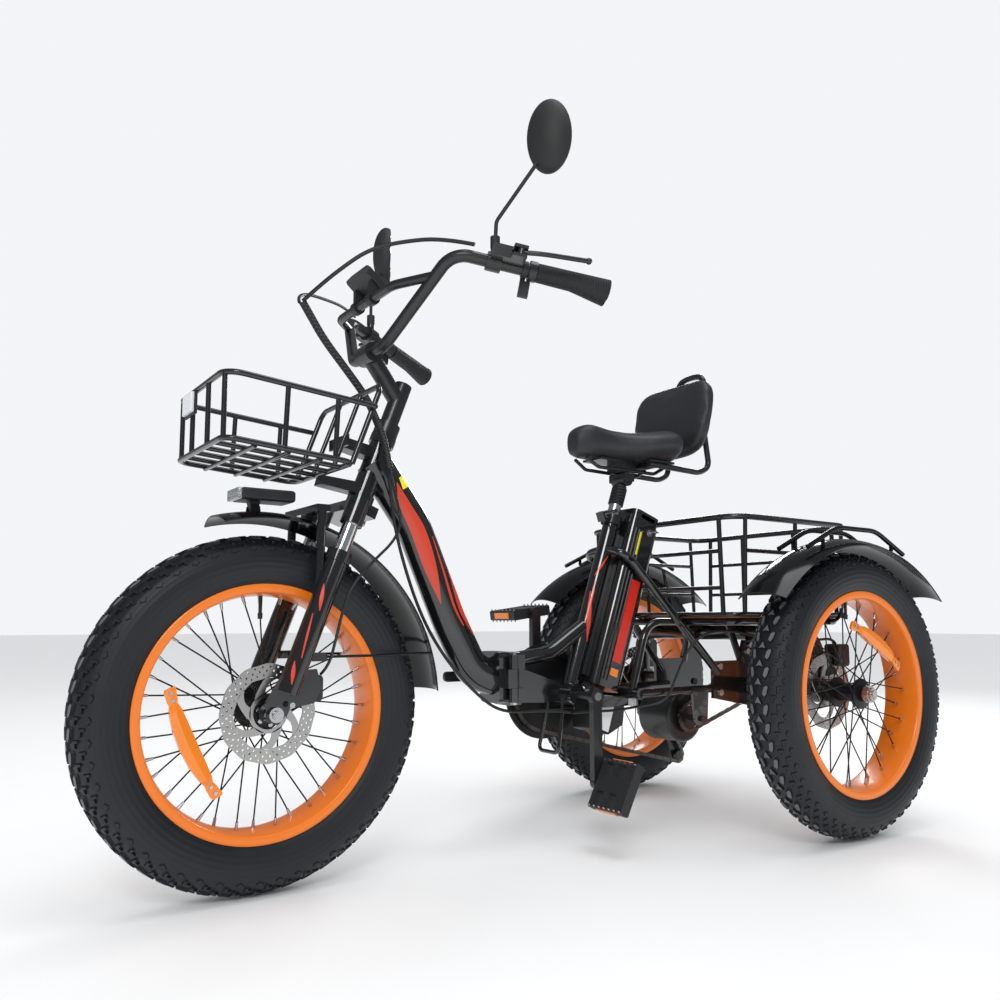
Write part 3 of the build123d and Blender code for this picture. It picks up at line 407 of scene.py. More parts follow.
def tyre_mesh():
    """A fat tyre: smooth carcass, arrow and lozenge tread, and side knobs."""
    bm = bmesh.new()
    turns, steps = 208, 44
    reach = math.radians(131)
    rings = []
    for k in range(turns):
        angle = 2 * math.pi * k / turns
        ring = []
        for j in range(steps + 1):
            ring.append(tyre_point(bm, angle, -reach + 2 * reach * j / steps))
        rings.append(ring)
    for k in range(turns):
        ring, after = rings[k], rings[(k + 1) % turns]
        for j in range(steps):
            bm.faces.new((ring[j], ring[j + 1], after[j + 1], after[j])).smooth = True
    pitch = 2 * math.pi / TREAD_PITCHES
    for k in range(TREAD_PITCHES):
        turn = pitch * k
        knob(bm, turn, 0, ARROW, 4.0, True)
        for side in (-1, 1):
            flip = [(a, b * side) for a, b in LOZENGE]
            knob(bm, turn + pitch / 2, side * 0.27, flip, 4.4, True)
            corner = [(a, b * side) for a, b in CORNER]
            knob(bm, turn + pitch * 0.1, side * 0.62, corner, 3.6)
            knob(bm, turn + pitch * 0.6, side * 0.86, corner, 3.2)
            knob(bm, turn + pitch * 0.1, side * 1.08, DIAMOND, 2.4)
    mesh = mesh_of(bm, "tyre")
    mesh.materials.append(M["tyre"])
    mesh.materials.append(M["worn"])
    return mesh


def rim_mesh():
    """A deep rim with rolled edges and a flat band round each side."""
    outline = [(-39.6, 204), (-39.6, 209), (-38.4, 210), (-37, 209.6), (-36.4, 203), (-33, 199), (-27, 196)]
    outline += [(-12, 193.6), (0, 193.2)]
    outer = outline + [(-y, r) for y, r in reversed(outline[:-1])]
    inner = [(39.5, 197), (38.6, 195.4), (35, 194.4), (28, 192.4), (13, 190.5), (0, 190)]
    under = inner + [(-y, r) for y, r in reversed(inner[:-1])]
    return lathe("rim", [(r, y) for y, r in outer + under], 192)


def spoke_ends(flange_y, flange_r):
    """The hub and rim end of every spoke, round a hub at the origin."""
    for k in range(SPOKES):
        side = 1 if k % 2 == 0 else -1
        lead = 1 if (k // 2) % 2 == 0 else -1
        rim_angle = 2 * math.pi / SPOKES * k
        hub_angle = rim_angle + math.radians(62) * lead
        hub = Vector((flange_r * math.cos(hub_angle), side * flange_y, flange_r * math.sin(hub_angle)))
        rim = (SPOKE_REACH * math.cos(rim_angle), side * 0.007, SPOKE_REACH * math.sin(rim_angle))
        yield hub, Vector(rim)


def nipples(flange_y, flange_r):
    bm = bmesh.new()
    for hub, rim in spoke_ends(flange_y, flange_r):
        inward = (hub - rim).normalized()
        rod(bm, rim - inward * 0.002, rim + inward * 0.012, 0.0031, 0.0023, 10)
    return mesh_of(bm, "nipples")


def valve():
    bm = bmesh.new()
    rod(bm, (0, 0, 0.191), (0, 0, 0.160), 0.0035, 0.003, 14)
    rod(bm, (0, 0, 0.162), (0, 0, 0.152), 0.0042, 0.004, 14)
    return mesh_of(bm, "valve")


def hub_caps(name, centre, body, rings):
    """Bright axle ends and lock nuts: (y, radius, depth) each, pointing outwards."""
    bm = bmesh.new()
    for y, radius, depth in rings:
        outwards = math.copysign(depth, y)
        rod(bm, (0, y, 0), (0, y + outwards, 0), radius, radius * 0.94, 24)
    piece(name, mesh_of(bm, name), "steel", body, centre, smooth=False)


def polar(radius, angle):
    return (radius * math.cos(angle), 0, radius * math.sin(angle))


def drilled_band(bm):
    """The braking ring: a wavy flat band with three staggered rows of holes."""
    rows = (0.0570, 0.0605, 0.0635, 0.0668, 0.0700, 0.0735, 0.0765, 0.0795)
    holes = {1: 0, 3: 2, 5: 0}
    count, waves, wave = 144, 12, 0.0009
    rings = []
    for k in range(count):
        angle = 2 * math.pi * k / count
        swell = wave * math.cos(waves * angle)
        reach = (rows[0] + swell, *rows[1:-1], rows[-1] + swell)
        rings.append([bm.verts.new(polar(r, angle)) for r in reach])
    for k in range(count):
        one, two = rings[k], rings[(k + 1) % count]
        for j in range(len(rows) - 1):
            if holes.get(j) != k % 4:
                bm.faces.new((one[j], one[j + 1], two[j + 1], two[j]))


def rotor_arms(bm, arms=6, steps=5):
    """Slanted arms, narrowest half way, from the centre ring to the braking ring."""
    for k in range(arms):
        strip = []
        for j in range(steps + 1):
            r = 0.0315 + 0.0262 * j / steps
            turn = 2 * math.pi * k / arms + 0.60 * j / steps
            half = (0.0068 + 0.0034 * abs(2 * j / steps - 1)) / r
            strip.append([bm.verts.new(polar(r, turn + h)) for h in (-half, half)])
        for one, two in zip(strip, strip[1:]):
            bm.faces.new((one[0], two[0], two[1], one[1]))


def rotor_mesh(node, centre):
    """A wavy drilled brake disc on slanted arms, filling its CAD disc's depth."""
    low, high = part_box(node)
    bm = bmesh.new()
    drilled_band(bm)
    bore, edge, sides = (0.0255 if node == "front_rotor" else 0.0225), 0.032, 72
    for k in range(sides):
        a, b = 2 * math.pi * k / sides, 2 * math.pi * (k + 1) / sides
        bm.faces.new([bm.verts.new(polar(r, t)) for r, t in ((bore, a), (edge, a), (edge, b), (bore, b))])
    rotor_arms(bm)
    bmesh.ops.remove_doubles(bm, verts=bm.verts, dist=0.00002)
    bmesh.ops.recalc_face_normals(bm, faces=bm.faces)
    moved = bmesh.ops.extrude_face_region(bm, geom=bm.faces[:])
    lifted = [v for v in moved["geom"] if isinstance(v, bmesh.types.BMVert)]
    bmesh.ops.translate(bm, verts=lifted, vec=(0, high.y - low.y, 0))
    bmesh.ops.translate(bm, verts=bm.verts, vec=(0, low.y - centre.y, 0))
    return mesh_of(bm, node)


def reflector_mesh(turn):
    """A long faceted spoke reflector, bowed outwards, with slotted end clips."""
    bm = bmesh.new()
    spans = ((-96, 8), (-92, 10), (-84, 9), (-78, 9), (-70, 7), (-60, 10), (-34, 13), (0, 14))
    spans += tuple((-x, half) for x, half in reversed(spans[:-1]))
    rows = []
    for x, half in spans:
        bend = 0.010 * (abs(x) / 96) ** 2
        proud = 0.0045 if abs(x) < 65 else 0.0018
        ridge = proud * 1.6
        corners = ((-proud, half), (-ridge, 0), (-proud, -half), (proud, -half), (ridge, 0), (proud, half))
        rows.append([bm.verts.new((x / 1000, y, z / 1000 + bend)) for y, z in corners])
    for one, two in zip(rows, rows[1:]):
        for j in range(6):
            i = (j + 1) % 6
            bm.faces.new((one[j], one[i], two[i], two[j]))
    bm.faces.new(rows[0])
    bm.faces.new(list(reversed(rows[-1])))
    moulded = len(bm.faces)
    for x in (-88, -76, 76, 88):
        z = 0.010 * (x / 96) ** 2
        rod(bm, (x / 1000, -0.0046, z), (x / 1000, 0.0046, z), 0.0030, sides=14)
    bm.faces.ensure_lookup_table()
    for face in bm.faces[moulded:]:
        face.material_index = 1
    bmesh.ops.transform(bm, matrix=Matrix.Rotation(-turn, 4, "Y"), verts=bm.verts)
    mesh = mesh_of(bm, "reflector")
    mesh.materials.append(M["amber"])
    mesh.materials.append(M["steel"])
    return mesh


def reflector(name, centre, body, degrees, heading, radius, depth):
    """A reflector clipped across the spokes, at an angle round the wheel."""
    angle = math.radians(degrees)
    spot = Vector((radius * math.cos(angle), depth, radius * math.sin(angle)))
    piece(name, reflector_mesh(math.radians(heading)), None, body, centre + spot, smooth=False)


def wheels():
    rubber = tyre_mesh()
    rim = rim_mesh()
    rim.materials.append(M["orange"])
    stem = valve()
    stem.materials.append(M["satin"])
    for name, centre, body, flange_y, flange_r in WHEELS:
        piece(f"{name}_tread", rubber, None, body, centre, [f"{name}_tyre"], smooth=False)
        piece(f"{name}_rim_painted", rim, None, body, centre, [f"{name}_rim"])
        ends = nipples(flange_y, flange_r)
        piece(f"{name}_nipples", ends, "steel", body, centre, smooth=False)
        piece(f"{name}_valve", stem, None, body, centre, smooth=False)
    reflector("front_reflector", FRONT_HUB, "front_wheel", -22, 65, 0.126, 0.017)
    reflector("left_reflector", LEFT_HUB, "left_wheel", 128, 209, 0.131, 0.017)
    reflector("right_reflector", RIGHT_HUB, "right_wheel", 52, 151, 0.131, -0.017)
    for name, centre, body, _, _ in WHEELS:
        disc = rotor_mesh(f"{name}_rotor", centre)
        piece(f"{name}_disc", disc, "disc", body, centre, [f"{name}_rotor"], smooth=False)
    front_ends = [(side * 0.0885, 0.0075, 0.003) for side in (-1, 1)]
    hub_caps("front_axle_caps", FRONT_HUB, "fork_lowers", front_ends)
    steps = ((0.0400, 0.0175, 0.0105), (0.0505, 0.0138, 0.0045), (0.0550, 0.0085, 0.003))
    for name, centre, side in (("left", LEFT_HUB, 1), ("right", RIGHT_HUB, -1)):
        outer = [(side * y, radius, depth) for y, radius, depth in steps]
        hub_caps(f"{name}_axle_cap", centre, f"{name}_wheel", outer)


# ---------------------------------------------------------------- soft pieces


VOXEL = 0.005
AIR = 4.0
MOST_PUFF = 0.004


def blown(name, mesh, finish, body, nodes):
    """Fabric over foam: remeshed, puffed by cloth simulation, capped and drawn taut."""
    made = piece(name, mesh, finish, body, stands_for=nodes)
    context = bpy.context
    context.view_layer.objects.active = made
    remesh = made.modifiers.new("even", "REMESH")
    remesh.mode = "VOXEL"
    remesh.voxel_size = VOXEL
    bake(made)
    before = [v.co.copy() for v in made.data.vertices]
    cloth = made.modifiers.new("puff", "CLOTH")
    cloth.settings.quality = 5
    cloth.settings.use_pressure = True
    cloth.settings.uniform_pressure_force = AIR
    cloth.settings.effector_weights.gravity = 0
    cloth.settings.tension_stiffness = 20
    cloth.settings.compression_stiffness = 20
    for step in range(1, 21):
        context.scene.frame_set(step)
    shape = made.evaluated_get(context.evaluated_depsgraph_get()).to_mesh()
    after = [v.co.copy() for v in shape.vertices]
    made.modifiers.clear()
    for vertex, old, new in zip(made.data.vertices, before, after):
        move = new - old
        if move.length > MOST_PUFF:
            move *= MOST_PUFF / move.length
        vertex.co = old + move
    context.scene.frame_set(1)
    taut = made.modifiers.new("taut", "SMOOTH")
    taut.factor = 0.5
    taut.iterations = 14
    bake(made)
    smooth = made.modifiers.new("soft", "SUBSURF")
    smooth.levels = 1
    smooth.render_levels = 1
    return made


def bake(made):
    """Applies every modifier on a piece to its own mesh."""
    shape = made.evaluated_get(bpy.context.evaluated_depsgraph_get())
    mesh = bpy.data.meshes.new_from_object(shape)
    finish = made.data.materials[0]
    made.modifiers.clear()
    made.data = mesh
    mesh.materials.clear()
    mesh.materials.append(finish)
    mesh.polygons.foreach_set("use_smooth", [True] * len(mesh.polygons))


SADDLE_TAIL = 190
SADDLE_LONG = 270


def saddle_section(x):
    """Half width, top and bottom height of the saddle, in millimetres."""
    t = (x - SADDLE_TAIL) / SADDLE_LONG
    wide = 38 + 80 / (1 + math.exp((t - 0.50) * 9))
    tail = min(1.0, max(0.02, (t + 0.01) / 0.14)) ** 0.5
    nose = min(1.0, max(0.02, (1.01 - t) / 0.14)) ** 0.5
    end = 1 - min(tail, nose)
    top = 863 + 8 * math.cos(2 * math.pi * min(1.0, t * 1.02))
    return wide * (1 - 0.8 * end), top - 26 * end, 800 + 6 * end


def saddle_mesh():
    """A broad two-lobed saddle with a long nose and turned-down skirts."""
    bm = bmesh.new()
    rows = []
    steps, around = 36, 40
    for k in range(steps + 1):
        x = SADDLE_TAIL + SADDLE_LONG * (0.5 - 0.5 * math.cos(math.pi * k / steps))
        half, top, low = saddle_section(x)
        ring = []
        for j in range(around):
            a = 2 * math.pi * j / around
            c, s = math.cos(a), math.sin(a)
            y = half * math.copysign(abs(c) ** 0.5, c) * (1 if s > 0 else 1 + 0.06 * s)
            lift = (top - low) / 2
            groove = 5 * math.exp(-((y / 15) ** 2)) if s > 0 and x < 420 else 0
            z = (top + low) / 2 + lift * math.copysign(abs(s) ** 0.8, s) - groove
            ring.append(bm.verts.new(at(x, y, z)))
        rows.append(ring)
    for one, two in zip(rows, rows[1:]):
        for j in range(around):
            i = (j + 1) % around
            bm.faces.new((one[j], one[i], two[i], two[j]))
    bm.faces.new(rows[0])
    bm.faces.new(list(reversed(rows[-1])))
    return mesh_of(bm, "saddle")


def pad_mesh(name, half_wide, half_tall, thick, centre, lean):
    """A rounded upright pad, a little hollow towards the rider's back."""
    bm = bmesh.new()
    rows = []
    around = 64
    layers = ((-0.5, 0.84), (-0.42, 0.95), (-0.2, 1.0), (0.2, 1.0), (0.42, 0.95), (0.5, 0.84))
    for depth, size in layers:
        ring = []
        for j in range(around):
            a = 2 * math.pi * j / around
            c, s = math.cos(a), math.sin(a)
            y = half_wide * size * math.copysign(abs(c) ** 0.5, c)
            z = half_tall * size * math.copysign(abs(s) ** 0.55, s)
            y *= 1 - 0.10 * (-z / half_tall if z < 0 else 0)
            bow = 0.010 * (y / half_wide) ** 2
            ring.append(bm.verts.new((thick * depth + bow, y, z)))
        rows.append(ring)
    for one, two in zip(rows, rows[1:]):
        for j in range(around):
            i = (j + 1) % around
            bm.faces.new((one[j], one[i], two[i], two[j]))
    bm.faces.new(rows[0])
    bm.faces.new(list(reversed(rows[-1])))
    place = Matrix.Translation(centre) @ Matrix.Rotation(lean, 4, "Y")
    bmesh.ops.transform(bm, matrix=place, verts=bm.verts)
    return mesh_of(bm, name)


def seat():
    """Saddle and backrest cushions, and the handle over the backrest."""
    cushion = blown("saddle_cushion", saddle_mesh(), "leather", "saddle", ["saddle"])
    centre = at(137, 0, 913)
    mesh = pad_mesh("backrest_pad", 0.121, 0.093, 0.038, centre, math.radians(-10))
    pad = blown("backrest_cushion", mesh, "leather", "saddle", ["backrest"])
    foot = [(108, 44, 950), (88, 44, 966), (79, 43, 1000), (77, 36, 1024), (76, 16, 1031)]
    cable("backrest_handle", foot + mirrored(foot)[::-1], 7, "satin", "saddle")


# -------------------------------------------------------------------- cables


def cables():
    """Every cable, on the route that its CAD part has, as listed places."""
    bundle = [(1090, 24, 1001), (1071, 22, 975), (1046, 21, 940), (1002, 21, 893)]
    bundle += [(962, 24, 846), (946, 36, 800), (938, 52, 760), (932, 58, 712)]
    left = [(864, 232, 1086), (905, 190, 1103), (960, 142, 1100), (1005, 108, 1087)]
    left += [(1047, 78, 1050), (1077, 48, 1018), (1090, 26, 1002)]
    right = [(868, -230, 1094), (915, -180, 1090), (985, -118, 1072), (1046, -66, 1054)]
    right += [(1082, -20, 1026), (1092, 14, 1003)]
    hose = [(933, 62, 712), (925, 66, 668), (914, 74, 622), (936, 90, 582), (982, 103, 545)]
    hose += [(1022, 106, 505), (1040, 104, 460), (1046, 92, 410), (1049, 72, 366), (1054, 52, 353)]
    cable("cable_bundle", bundle, 7, "wrap", "steering", ["control_cables"])
    cable("left_cables", left, 3.6, "cable", "steering")
    cable("right_cables", right, 3, "cable", "steering")
    cable("front_brake_hose", hose, 2.5, "cable", "steering")
    spine = [(927, 48, 704), (916, 38, 640), (889, 33, 548), (846, 32, 443), (789, 32, 362), (722, 30, 300)]
    hinge = [(668, 26, 267), (600, 20, 262), (545, 32, 262), (503, 43, 257)]
    cable("spine_cable", spine + hinge, 3, "cable", "front_frame", ["frame_cables"])
    low = [(500, 44, 256), (450, 50, 256), (390, 53, 255), (332, 62, 261), (284, 97, 270), (262, 103, 320)]
    high = [(236, 120, 388), (196, 136, 419), (140, 160, 421), (88, 196, 405), (46, 238, 398), (14, 283, 402)]
    rear = low + high + [(-20, 293, 404), (-38, 287, 393)]
    cable("rear_brake_cable_left", rear, 2.8, "cable", "rear_frame", ["rear_brake_cables"])
    cable("rear_brake_cable_right", mirrored(rear), 2.8, "cable", "rear_frame")


# ------------------------------------------------------------- printed shapes


def skin(node):
    """A CAD node's surface, for laying printed shapes on."""
    thing = NODES[node]
    places = [thing.matrix_world @ v.co for v in thing.data.vertices]
    return BVHTree.FromPolygons(places, [tuple(p.vertices) for p in thing.data.polygons])


def along(edge, t):
    """A place at a share t of the way along a list of places, rounded at the bends."""
    span = t * (len(edge) - 1)
    k = min(int(span), len(edge) - 2)
    u = span - k
    before = edge[max(0, k - 1)]
    after = edge[min(len(edge) - 1, k + 2)]
    one, two = edge[k], edge[k + 1]
    near = (one - before + (one - two)) * u * (1 - u) ** 2
    far = (two - one + (two - after)) * u * u * (1 - u)
    return one.lerp(two, u) + (near + far) * 0.5


def printed(name, node, body, finish, push, edges, across=6, steps=26):
    """A thin print between two edges, pressed onto a CAD node along a direction."""
    surface = skin(node)
    push = Vector(push).normalized()
    bm = bmesh.new()
    rows = []
    for k in range(steps + 1):
        one, two = (along(edge, k / steps) for edge in edges)
        row = []
        for j in range(across + 1):
            spot = one.lerp(two, j / across) - push * 0.08
            hit, normal, _, _ = surface.ray_cast(spot, push, 0.2)
            row.append(None if hit is None else bm.verts.new(hit - push * 0.0005))
        rows.append(row)
    for one, two in zip(rows, rows[1:]):
        for j in range(across):
            corners = (one[j], one[j + 1], two[j + 1], two[j])
            if all(corners):
                bm.faces.new(corners)
    return piece(name, mesh_of(bm, name), finish, body, smooth=False)


def spine_edge(points):
    return [at(x, 0, z) for x, z in points]


def swooshes():
    """Red swooshes along both sides of the main spine."""
    front_edge = ((901, 694), (893, 655), (866, 604), (836, 536), (801, 472))
    front_back = ((899, 696), (866, 652), (838, 612), (814, 546), (801, 472))
    rear_edge = ((804, 598), (781, 530), (762, 464), (725, 413))
    rear_back = ((803, 600), (769, 534), (748, 466), (723, 414))
    bar_edge = ((822, 600), (798, 530), (777, 470), (753, 432))
    bar_back = ((820, 601), (793, 532), (772, 472), (750, 433))
    for side, name in ((1, "left"), (-1, "right")):
        push = (0, -side, 0)
        shapes = (("rear", rear_edge, rear_back), ("front", front_edge, front_back))
        shapes += (("bar", bar_edge, bar_back),)
        for part, one, two in shapes:
            edges = (spine_edge(one), spine_edge(two))
            printed(f"spine_{part}_{name}", "front_frame", "front_frame", "decal", push, edges)


def slivers():
    """Red flashes on the fork legs and the seat tube."""
    for side, name in ((1, "left"), (-1, "right")):
        push = (-0.5, -0.85 * side, 0)
        legs = (("top", 226, 182, 4), ("middle", 174, 100, 2), ("low", 92, 56, 4))
        for part, high, low, half in legs:
            one = [fork_line(high, 36, 75 * side), fork_line((high + low) / 2, 30 + half, 75 * side)]
            two = [fork_line(high, 34, 75 * side), fork_line((high + low) / 2, 30 - half, 75 * side)]
            one.append(fork_line(low, 26, 75 * side))
            two.append(fork_line(low, 24, 75 * side))
            printed(f"fork_{part}_{name}", "fork_lowers", "fork_lowers", "decal", push, (one, two))
        flashes = (("top", 325, 272, 3, -11, 10), ("middle", 262, 200, 2, 5, 1))
        flashes += (("low", 236, 130, 6, 10, -12),)
        for part, high, low, half, ahead_high, ahead_low in flashes:
            places = ((high, -ahead_high, 1), ((high + low) / 2, -(ahead_high + ahead_low) / 2, half))
            places += ((low, -ahead_low, 1),)
            one = [seat_line(up, back - wide) for up, back, wide in places]
            two = [seat_line(up, back + wide) for up, back, wide in places]
            printed(f"seat_tube_{part}_{name}", "rear_frame", "rear_frame", "decal", push, (one, two))


def stickers():
    """Blank panels on the battery, control box and head tube."""
    for side, name in ((1, "left"), (-1, "right")):
        push = (0, -side, 0)
        y = 44 * side
        panel = [[seat_line(up, back, y) for up in (104, 197, 290)] for back in (60, 86)]
        printed(f"battery_panel_{name}", "battery", "battery", "red", push, panel)
        strip = [[seat_line(up, back, y) for up in (344, 398)] for back in (51, 59)]
        printed(f"battery_strip_{name}", "battery", "battery", "yellow", push, strip, across=2)
        tag = [[seat_line(up, back, y) for up in (74, 90)] for back in (62, 84)]
        printed(f"battery_tag_{name}", "battery", "battery", "amber", push, tag, across=2)
    label = ([at(426, 38, 262), at(422, 38, 218)], [at(380, 38, 262), at(398, 38, 209)])
    printed("control_box_label", "battery_cradle", "rear_frame", "white", (0, -1, 0), label)
    head = [at(893, 12, 704), at(885, 12, 682)], [at(879, 12, 713), at(870, 12, 691)]
    printed("head_tube_strip", "front_frame", "front_frame", "yellow", (-0.1, -0.98, -0.1), head, across=3)


# ------------------------------------------------------------ fitted details


def toothed(name, centre, y, root, tip, count, finish, body, thick=0.0024):
    """A ring of sprocket teeth standing on a CAD disc."""
    bm = bmesh.new()
    faces = []
    for side in (-0.5, 0.5):
        ring = []
        for k in range(count * 4):
            angle = 2 * math.pi * k / (count * 4)
            radius = (root, root, tip, tip)[k % 4]
            ring.append(bm.verts.new((radius * math.cos(angle), y + side * thick, radius * math.sin(angle))))
        faces.append(ring)
    size = count * 4
    for j in range(size):
        i = (j + 1) % size
        bm.faces.new((faces[0][j], faces[0][i], faces[1][i], faces[1][j]))
    bm.faces.new(faces[0])
    bm.faces.new(list(reversed(faces[1])))
    piece(name, mesh_of(bm, name), finish, body, centre, smooth=False)


def chain_places(circles, pitch):
    """Pin places, one pitch apart, on the run of a chain round its sprockets."""
    rim = []
    for x, z, radius in circles:
        rim += [Vector((x + radius * math.cos(a / 30), z + radius * math.sin(a / 30))) for a in range(189)]
    loop = [rim[k] for k in geometry.convex_hull_2d(rim)]
    loop.append(loop[0])
    total = sum((b - a).length for a, b in zip(loop, loop[1:]))
    count = 2 * round(total / pitch / 2)
    places = []
    gone, due = 0.0, 0.0
    for a, b in zip(loop, loop[1:]):
        step = (b - a).length
        while due < gone + step and len(places) < count:
            places.append(a.lerp(b, (due - gone) / step))
            due += total / count
        gone += step
    return places


def link_plate(bm, a, b, y, half, thick):
    """One waisted chain plate between two pins, flat in the chain's plane."""
    run = (b - a).normalized()
    side = Vector((-run.y, run.x))
    shape = []
    for end, heading in ((a, -1), (b, 1)):
        for k in range(7):
            turn = math.pi * (k / 6 - 0.5)
            out = run * heading * math.cos(turn) + side * heading * math.sin(turn)
            shape.append(end + out * half)
    rings = [[bm.verts.new(at(p.x, y + d, p.y)) for p in shape] for d in (-thick / 2, thick / 2)]
    count = len(shape)
    for j in range(count):
        i = (j + 1) % count
        bm.faces.new((rings[0][j], rings[0][i], rings[1][i], rings[1][j]))
    bm.faces.new(rings[0])
    bm.faces.new(list(reversed(rings[1])))


def chain(name, circles, y, node):
    """A roller chain of separate inner and outer plates, pins and rollers."""
    bm = bmesh.new()
    places = chain_places(circles, 12.7)
    for k, spot in enumerate(places):
        after = places[(k + 1) % len(places)]
        offset = 2.5 if k % 2 else 1.6
        for side in (-1, 1):
            link_plate(bm, spot, after, y + side * offset, 3.9, 0.8)
        rod(bm, at(spot.x, y - 3.3, spot.y), at(spot.x, y + 3.3, spot.y), 0.0017, sides=8)
        rod(bm, at(spot.x, y - 1.3, spot.y), at(spot.x, y + 1.3, spot.y), 0.0034, sides=10)
    piece(name, mesh_of(bm, name), "chain", "rear_frame", None, [node], smooth=False)


def drive():
    """Both chains, and the teeth on every sprocket."""
    chain("crank_chain_links", ((485, 292, 84), (170, 228, 34), (86, 124, 15)), -62, "crank_chain")
    chain("axle_chain_links", ((0, 293, 42), (170, 228, 30)), 54, "axle_chain")
    crank = at(485, 0, 292)
    toothed("chainring_teeth", crank, -0.062, 0.080, 0.0865, 42, "satin", "crankset")
    drum = at(170, 0, 228)
    toothed("motor_left_teeth", drum, 0.054, 0.0255, 0.0325, 15, "steel", "motor")
    for k in range(5):
        y, wide = -0.055 - 0.004 * k, 0.0300 - 0.0015 * k
        toothed(f"cassette_teeth_{k}", drum, y, wide - 0.001, wide + 0.004, 17 - k, "steel", "motor")
    toothed("axle_cog_teeth", LEFT_HUB, 0.054 - LEFT_HUB.y, 0.0375, 0.0445, 20, "steel", "left_wheel")
    for side in (-1, 1):
        name = "left" if side > 0 else "right"
        end = at(485, 105 * side, 292)
        bolts(f"crank_bolt_{name}", [(end, (0, side, 0))], "steel", "crankset", 0.009, 0.003)


def pedals():
    """Amber reflectors and grip pins on both platform pedals."""
    for side, z, tilt, name in ((1, 124, 62, "left"), (-1, 460, 8, "right")):
        tip = Matrix.Rotation(math.radians(tilt), 4, "Y")
        turn = Matrix.Translation(at(485, 0, z)) @ tip
        lenses, pins = bmesh.new(), bmesh.new()
        for end in (-1, 1):
            slab(lenses, turn @ Vector((end * 0.0506, side * 0.154, 0)), (0.003, 0.052, 0.013), tip, 0.001)
            for y in (112, 126, 140, 154, 168, 182, 196):
                for face in (-1, 1):
                    foot = turn @ Vector((end * 0.046, side * y / 1000, face * 0.0105))
                    rod(pins, foot, foot + tip @ Vector((0, 0, face * 0.004)), 0.0022, 0.0012, 8)
        body = f"pedal_{name}"
        piece(f"pedal_lens_{name}", mesh_of(lenses, "pedal_lens"), "amber", body, smooth=False)
        piece(f"pedal_pins_{name}", mesh_of(pins, "pedal_pins"), "steel", body, smooth=False)


def fixings():
    """Bolt heads on the axle plates, hinge, front disc, stem and fork ends."""
    plate = ((14, 372), (-6, 372), (4, 386), (110, 340), (110, 282), (-20, 276))
    both = [(at(x, 92 * side, z), (0, side, 0)) for x, z in plate for side in (-1, 1)]
    bolts("axle_plate_bolts", both, "steel", "rear_frame", 0.0075, 0.005)
    hinge = [(at(646, 44, 376), (0, 0, 1)), (at(646, 44, 284), (0, 0, -1))]
    bolts("hinge_bolts", hinge, "steel", "rear_frame", 0.007, 0.004)
    heads = []
    for k in range(6):
        angle = math.radians(60 * k + 20)
        spot = Vector((0.018 * math.cos(angle), 0.0519, 0.018 * math.sin(angle)))
        heads.append((FRONT_HUB + spot, (0, 1, 0)))
    bolts("front_disc_bolts", heads, "steel", "front_wheel", 0.004, 0.002)
    clamp = [(at(948, y, 954), (0.5, 0, 0.87)) for y in (-17, 17)]
    bolts("stem_bolts", clamp, "steel", "steering", 0.0045, 0.004)
    shoe = [(fork_line(22, 22, 94), (0, 1, 0)), (fork_line(22, 22, -94), (0, -1, 0))]
    bolts("fork_shoe_bolts", shoe, "steel", "fork_lowers", 0.005, 0.002)


def headlight_lens():
    """A clear front with its reflector and a row of small lamps behind."""
    bm = bmesh.new()
    slab(bm, at(1188, 0, 652.5), (0.006, 0.052, 0.0155), bevel=0.002)
    piece("headlight_reflector", mesh_of(bm, "headlight_reflector"), "chrome", "headlight", smooth=False)
    bm = bmesh.new()
    slab(bm, at(1192.5, 0, 652.5), (0.007, 0.0575, 0.019), bevel=0.0025)
    piece("headlight_lens", mesh_of(bm, "headlight_lens"), "lens", "headlight", smooth=False)
    bm = bmesh.new()
    for y in (-18, -9, 0, 9, 18):
        rod(bm, at(1190, y, 652.5), at(1194, y, 652.5), 0.0034, 0.0016, 12)
    piece("headlight_lamps", mesh_of(bm, "headlight_lamps"), "white", "headlight", smooth=False)


def cockpit():
    """The display's screen and its three buttons."""
    tilt = Matrix.Rotation(math.radians(-39.7), 4, "Y")
    facing = Vector((-0.64, 0, 0.77)).normalized()
    bm = bmesh.new()
    slab(bm, at(952, 0, 1068) + facing * 0.0078, (0.046, 0.062, 0.0014), tilt, 0.0004)
    piece("display_screen", mesh_of(bm, "display_screen"), "screen", "steering", smooth=False)
    bm = bmesh.new()
    for y in (-22, 0, 22):
        spot = at(952, y, 1068) + tilt @ Vector((-0.0265, 0, 0)) + facing * 0.008
        rod(bm, spot, spot + facing * 0.0012, 0.0035, 0.003, 18)
    piece("display_buttons", mesh_of(bm, "display_buttons"), "rubber", "steering", smooth=False)


def mirror_glasses():
    """An oval glass let into the back of each mirror's shell."""
    sides = 64
    for side, name in ((1, "left"), (-1, "right")):
        look = Vector((-0.887, -0.462 * side, 0))
        across = Vector((0.462, -0.887 * side, 0))
        centre = at(756, 304 * side, 1283)
        bm = bmesh.new()
        front, back = [], []
        for k in range(sides):
            angle = 2 * math.pi * k / sides
            spot = centre + across * 0.0355 * math.cos(angle) + Vector((0, 0, 0.0595 * math.sin(angle)))
            back.append(bm.verts.new(spot + look * 0.0098))
            front.append(bm.verts.new(spot + look * 0.0108))
        for j in range(sides):
            i = (j + 1) % sides
            bm.faces.new((back[j], back[i], front[i], front[j]))
        bm.faces.new(back)
        bm.faces.new(list(reversed(front)))
        piece(f"mirror_glass_{name}", mesh_of(bm, "mirror_glass"), "mirror", f"mirror_{name}", smooth=False)


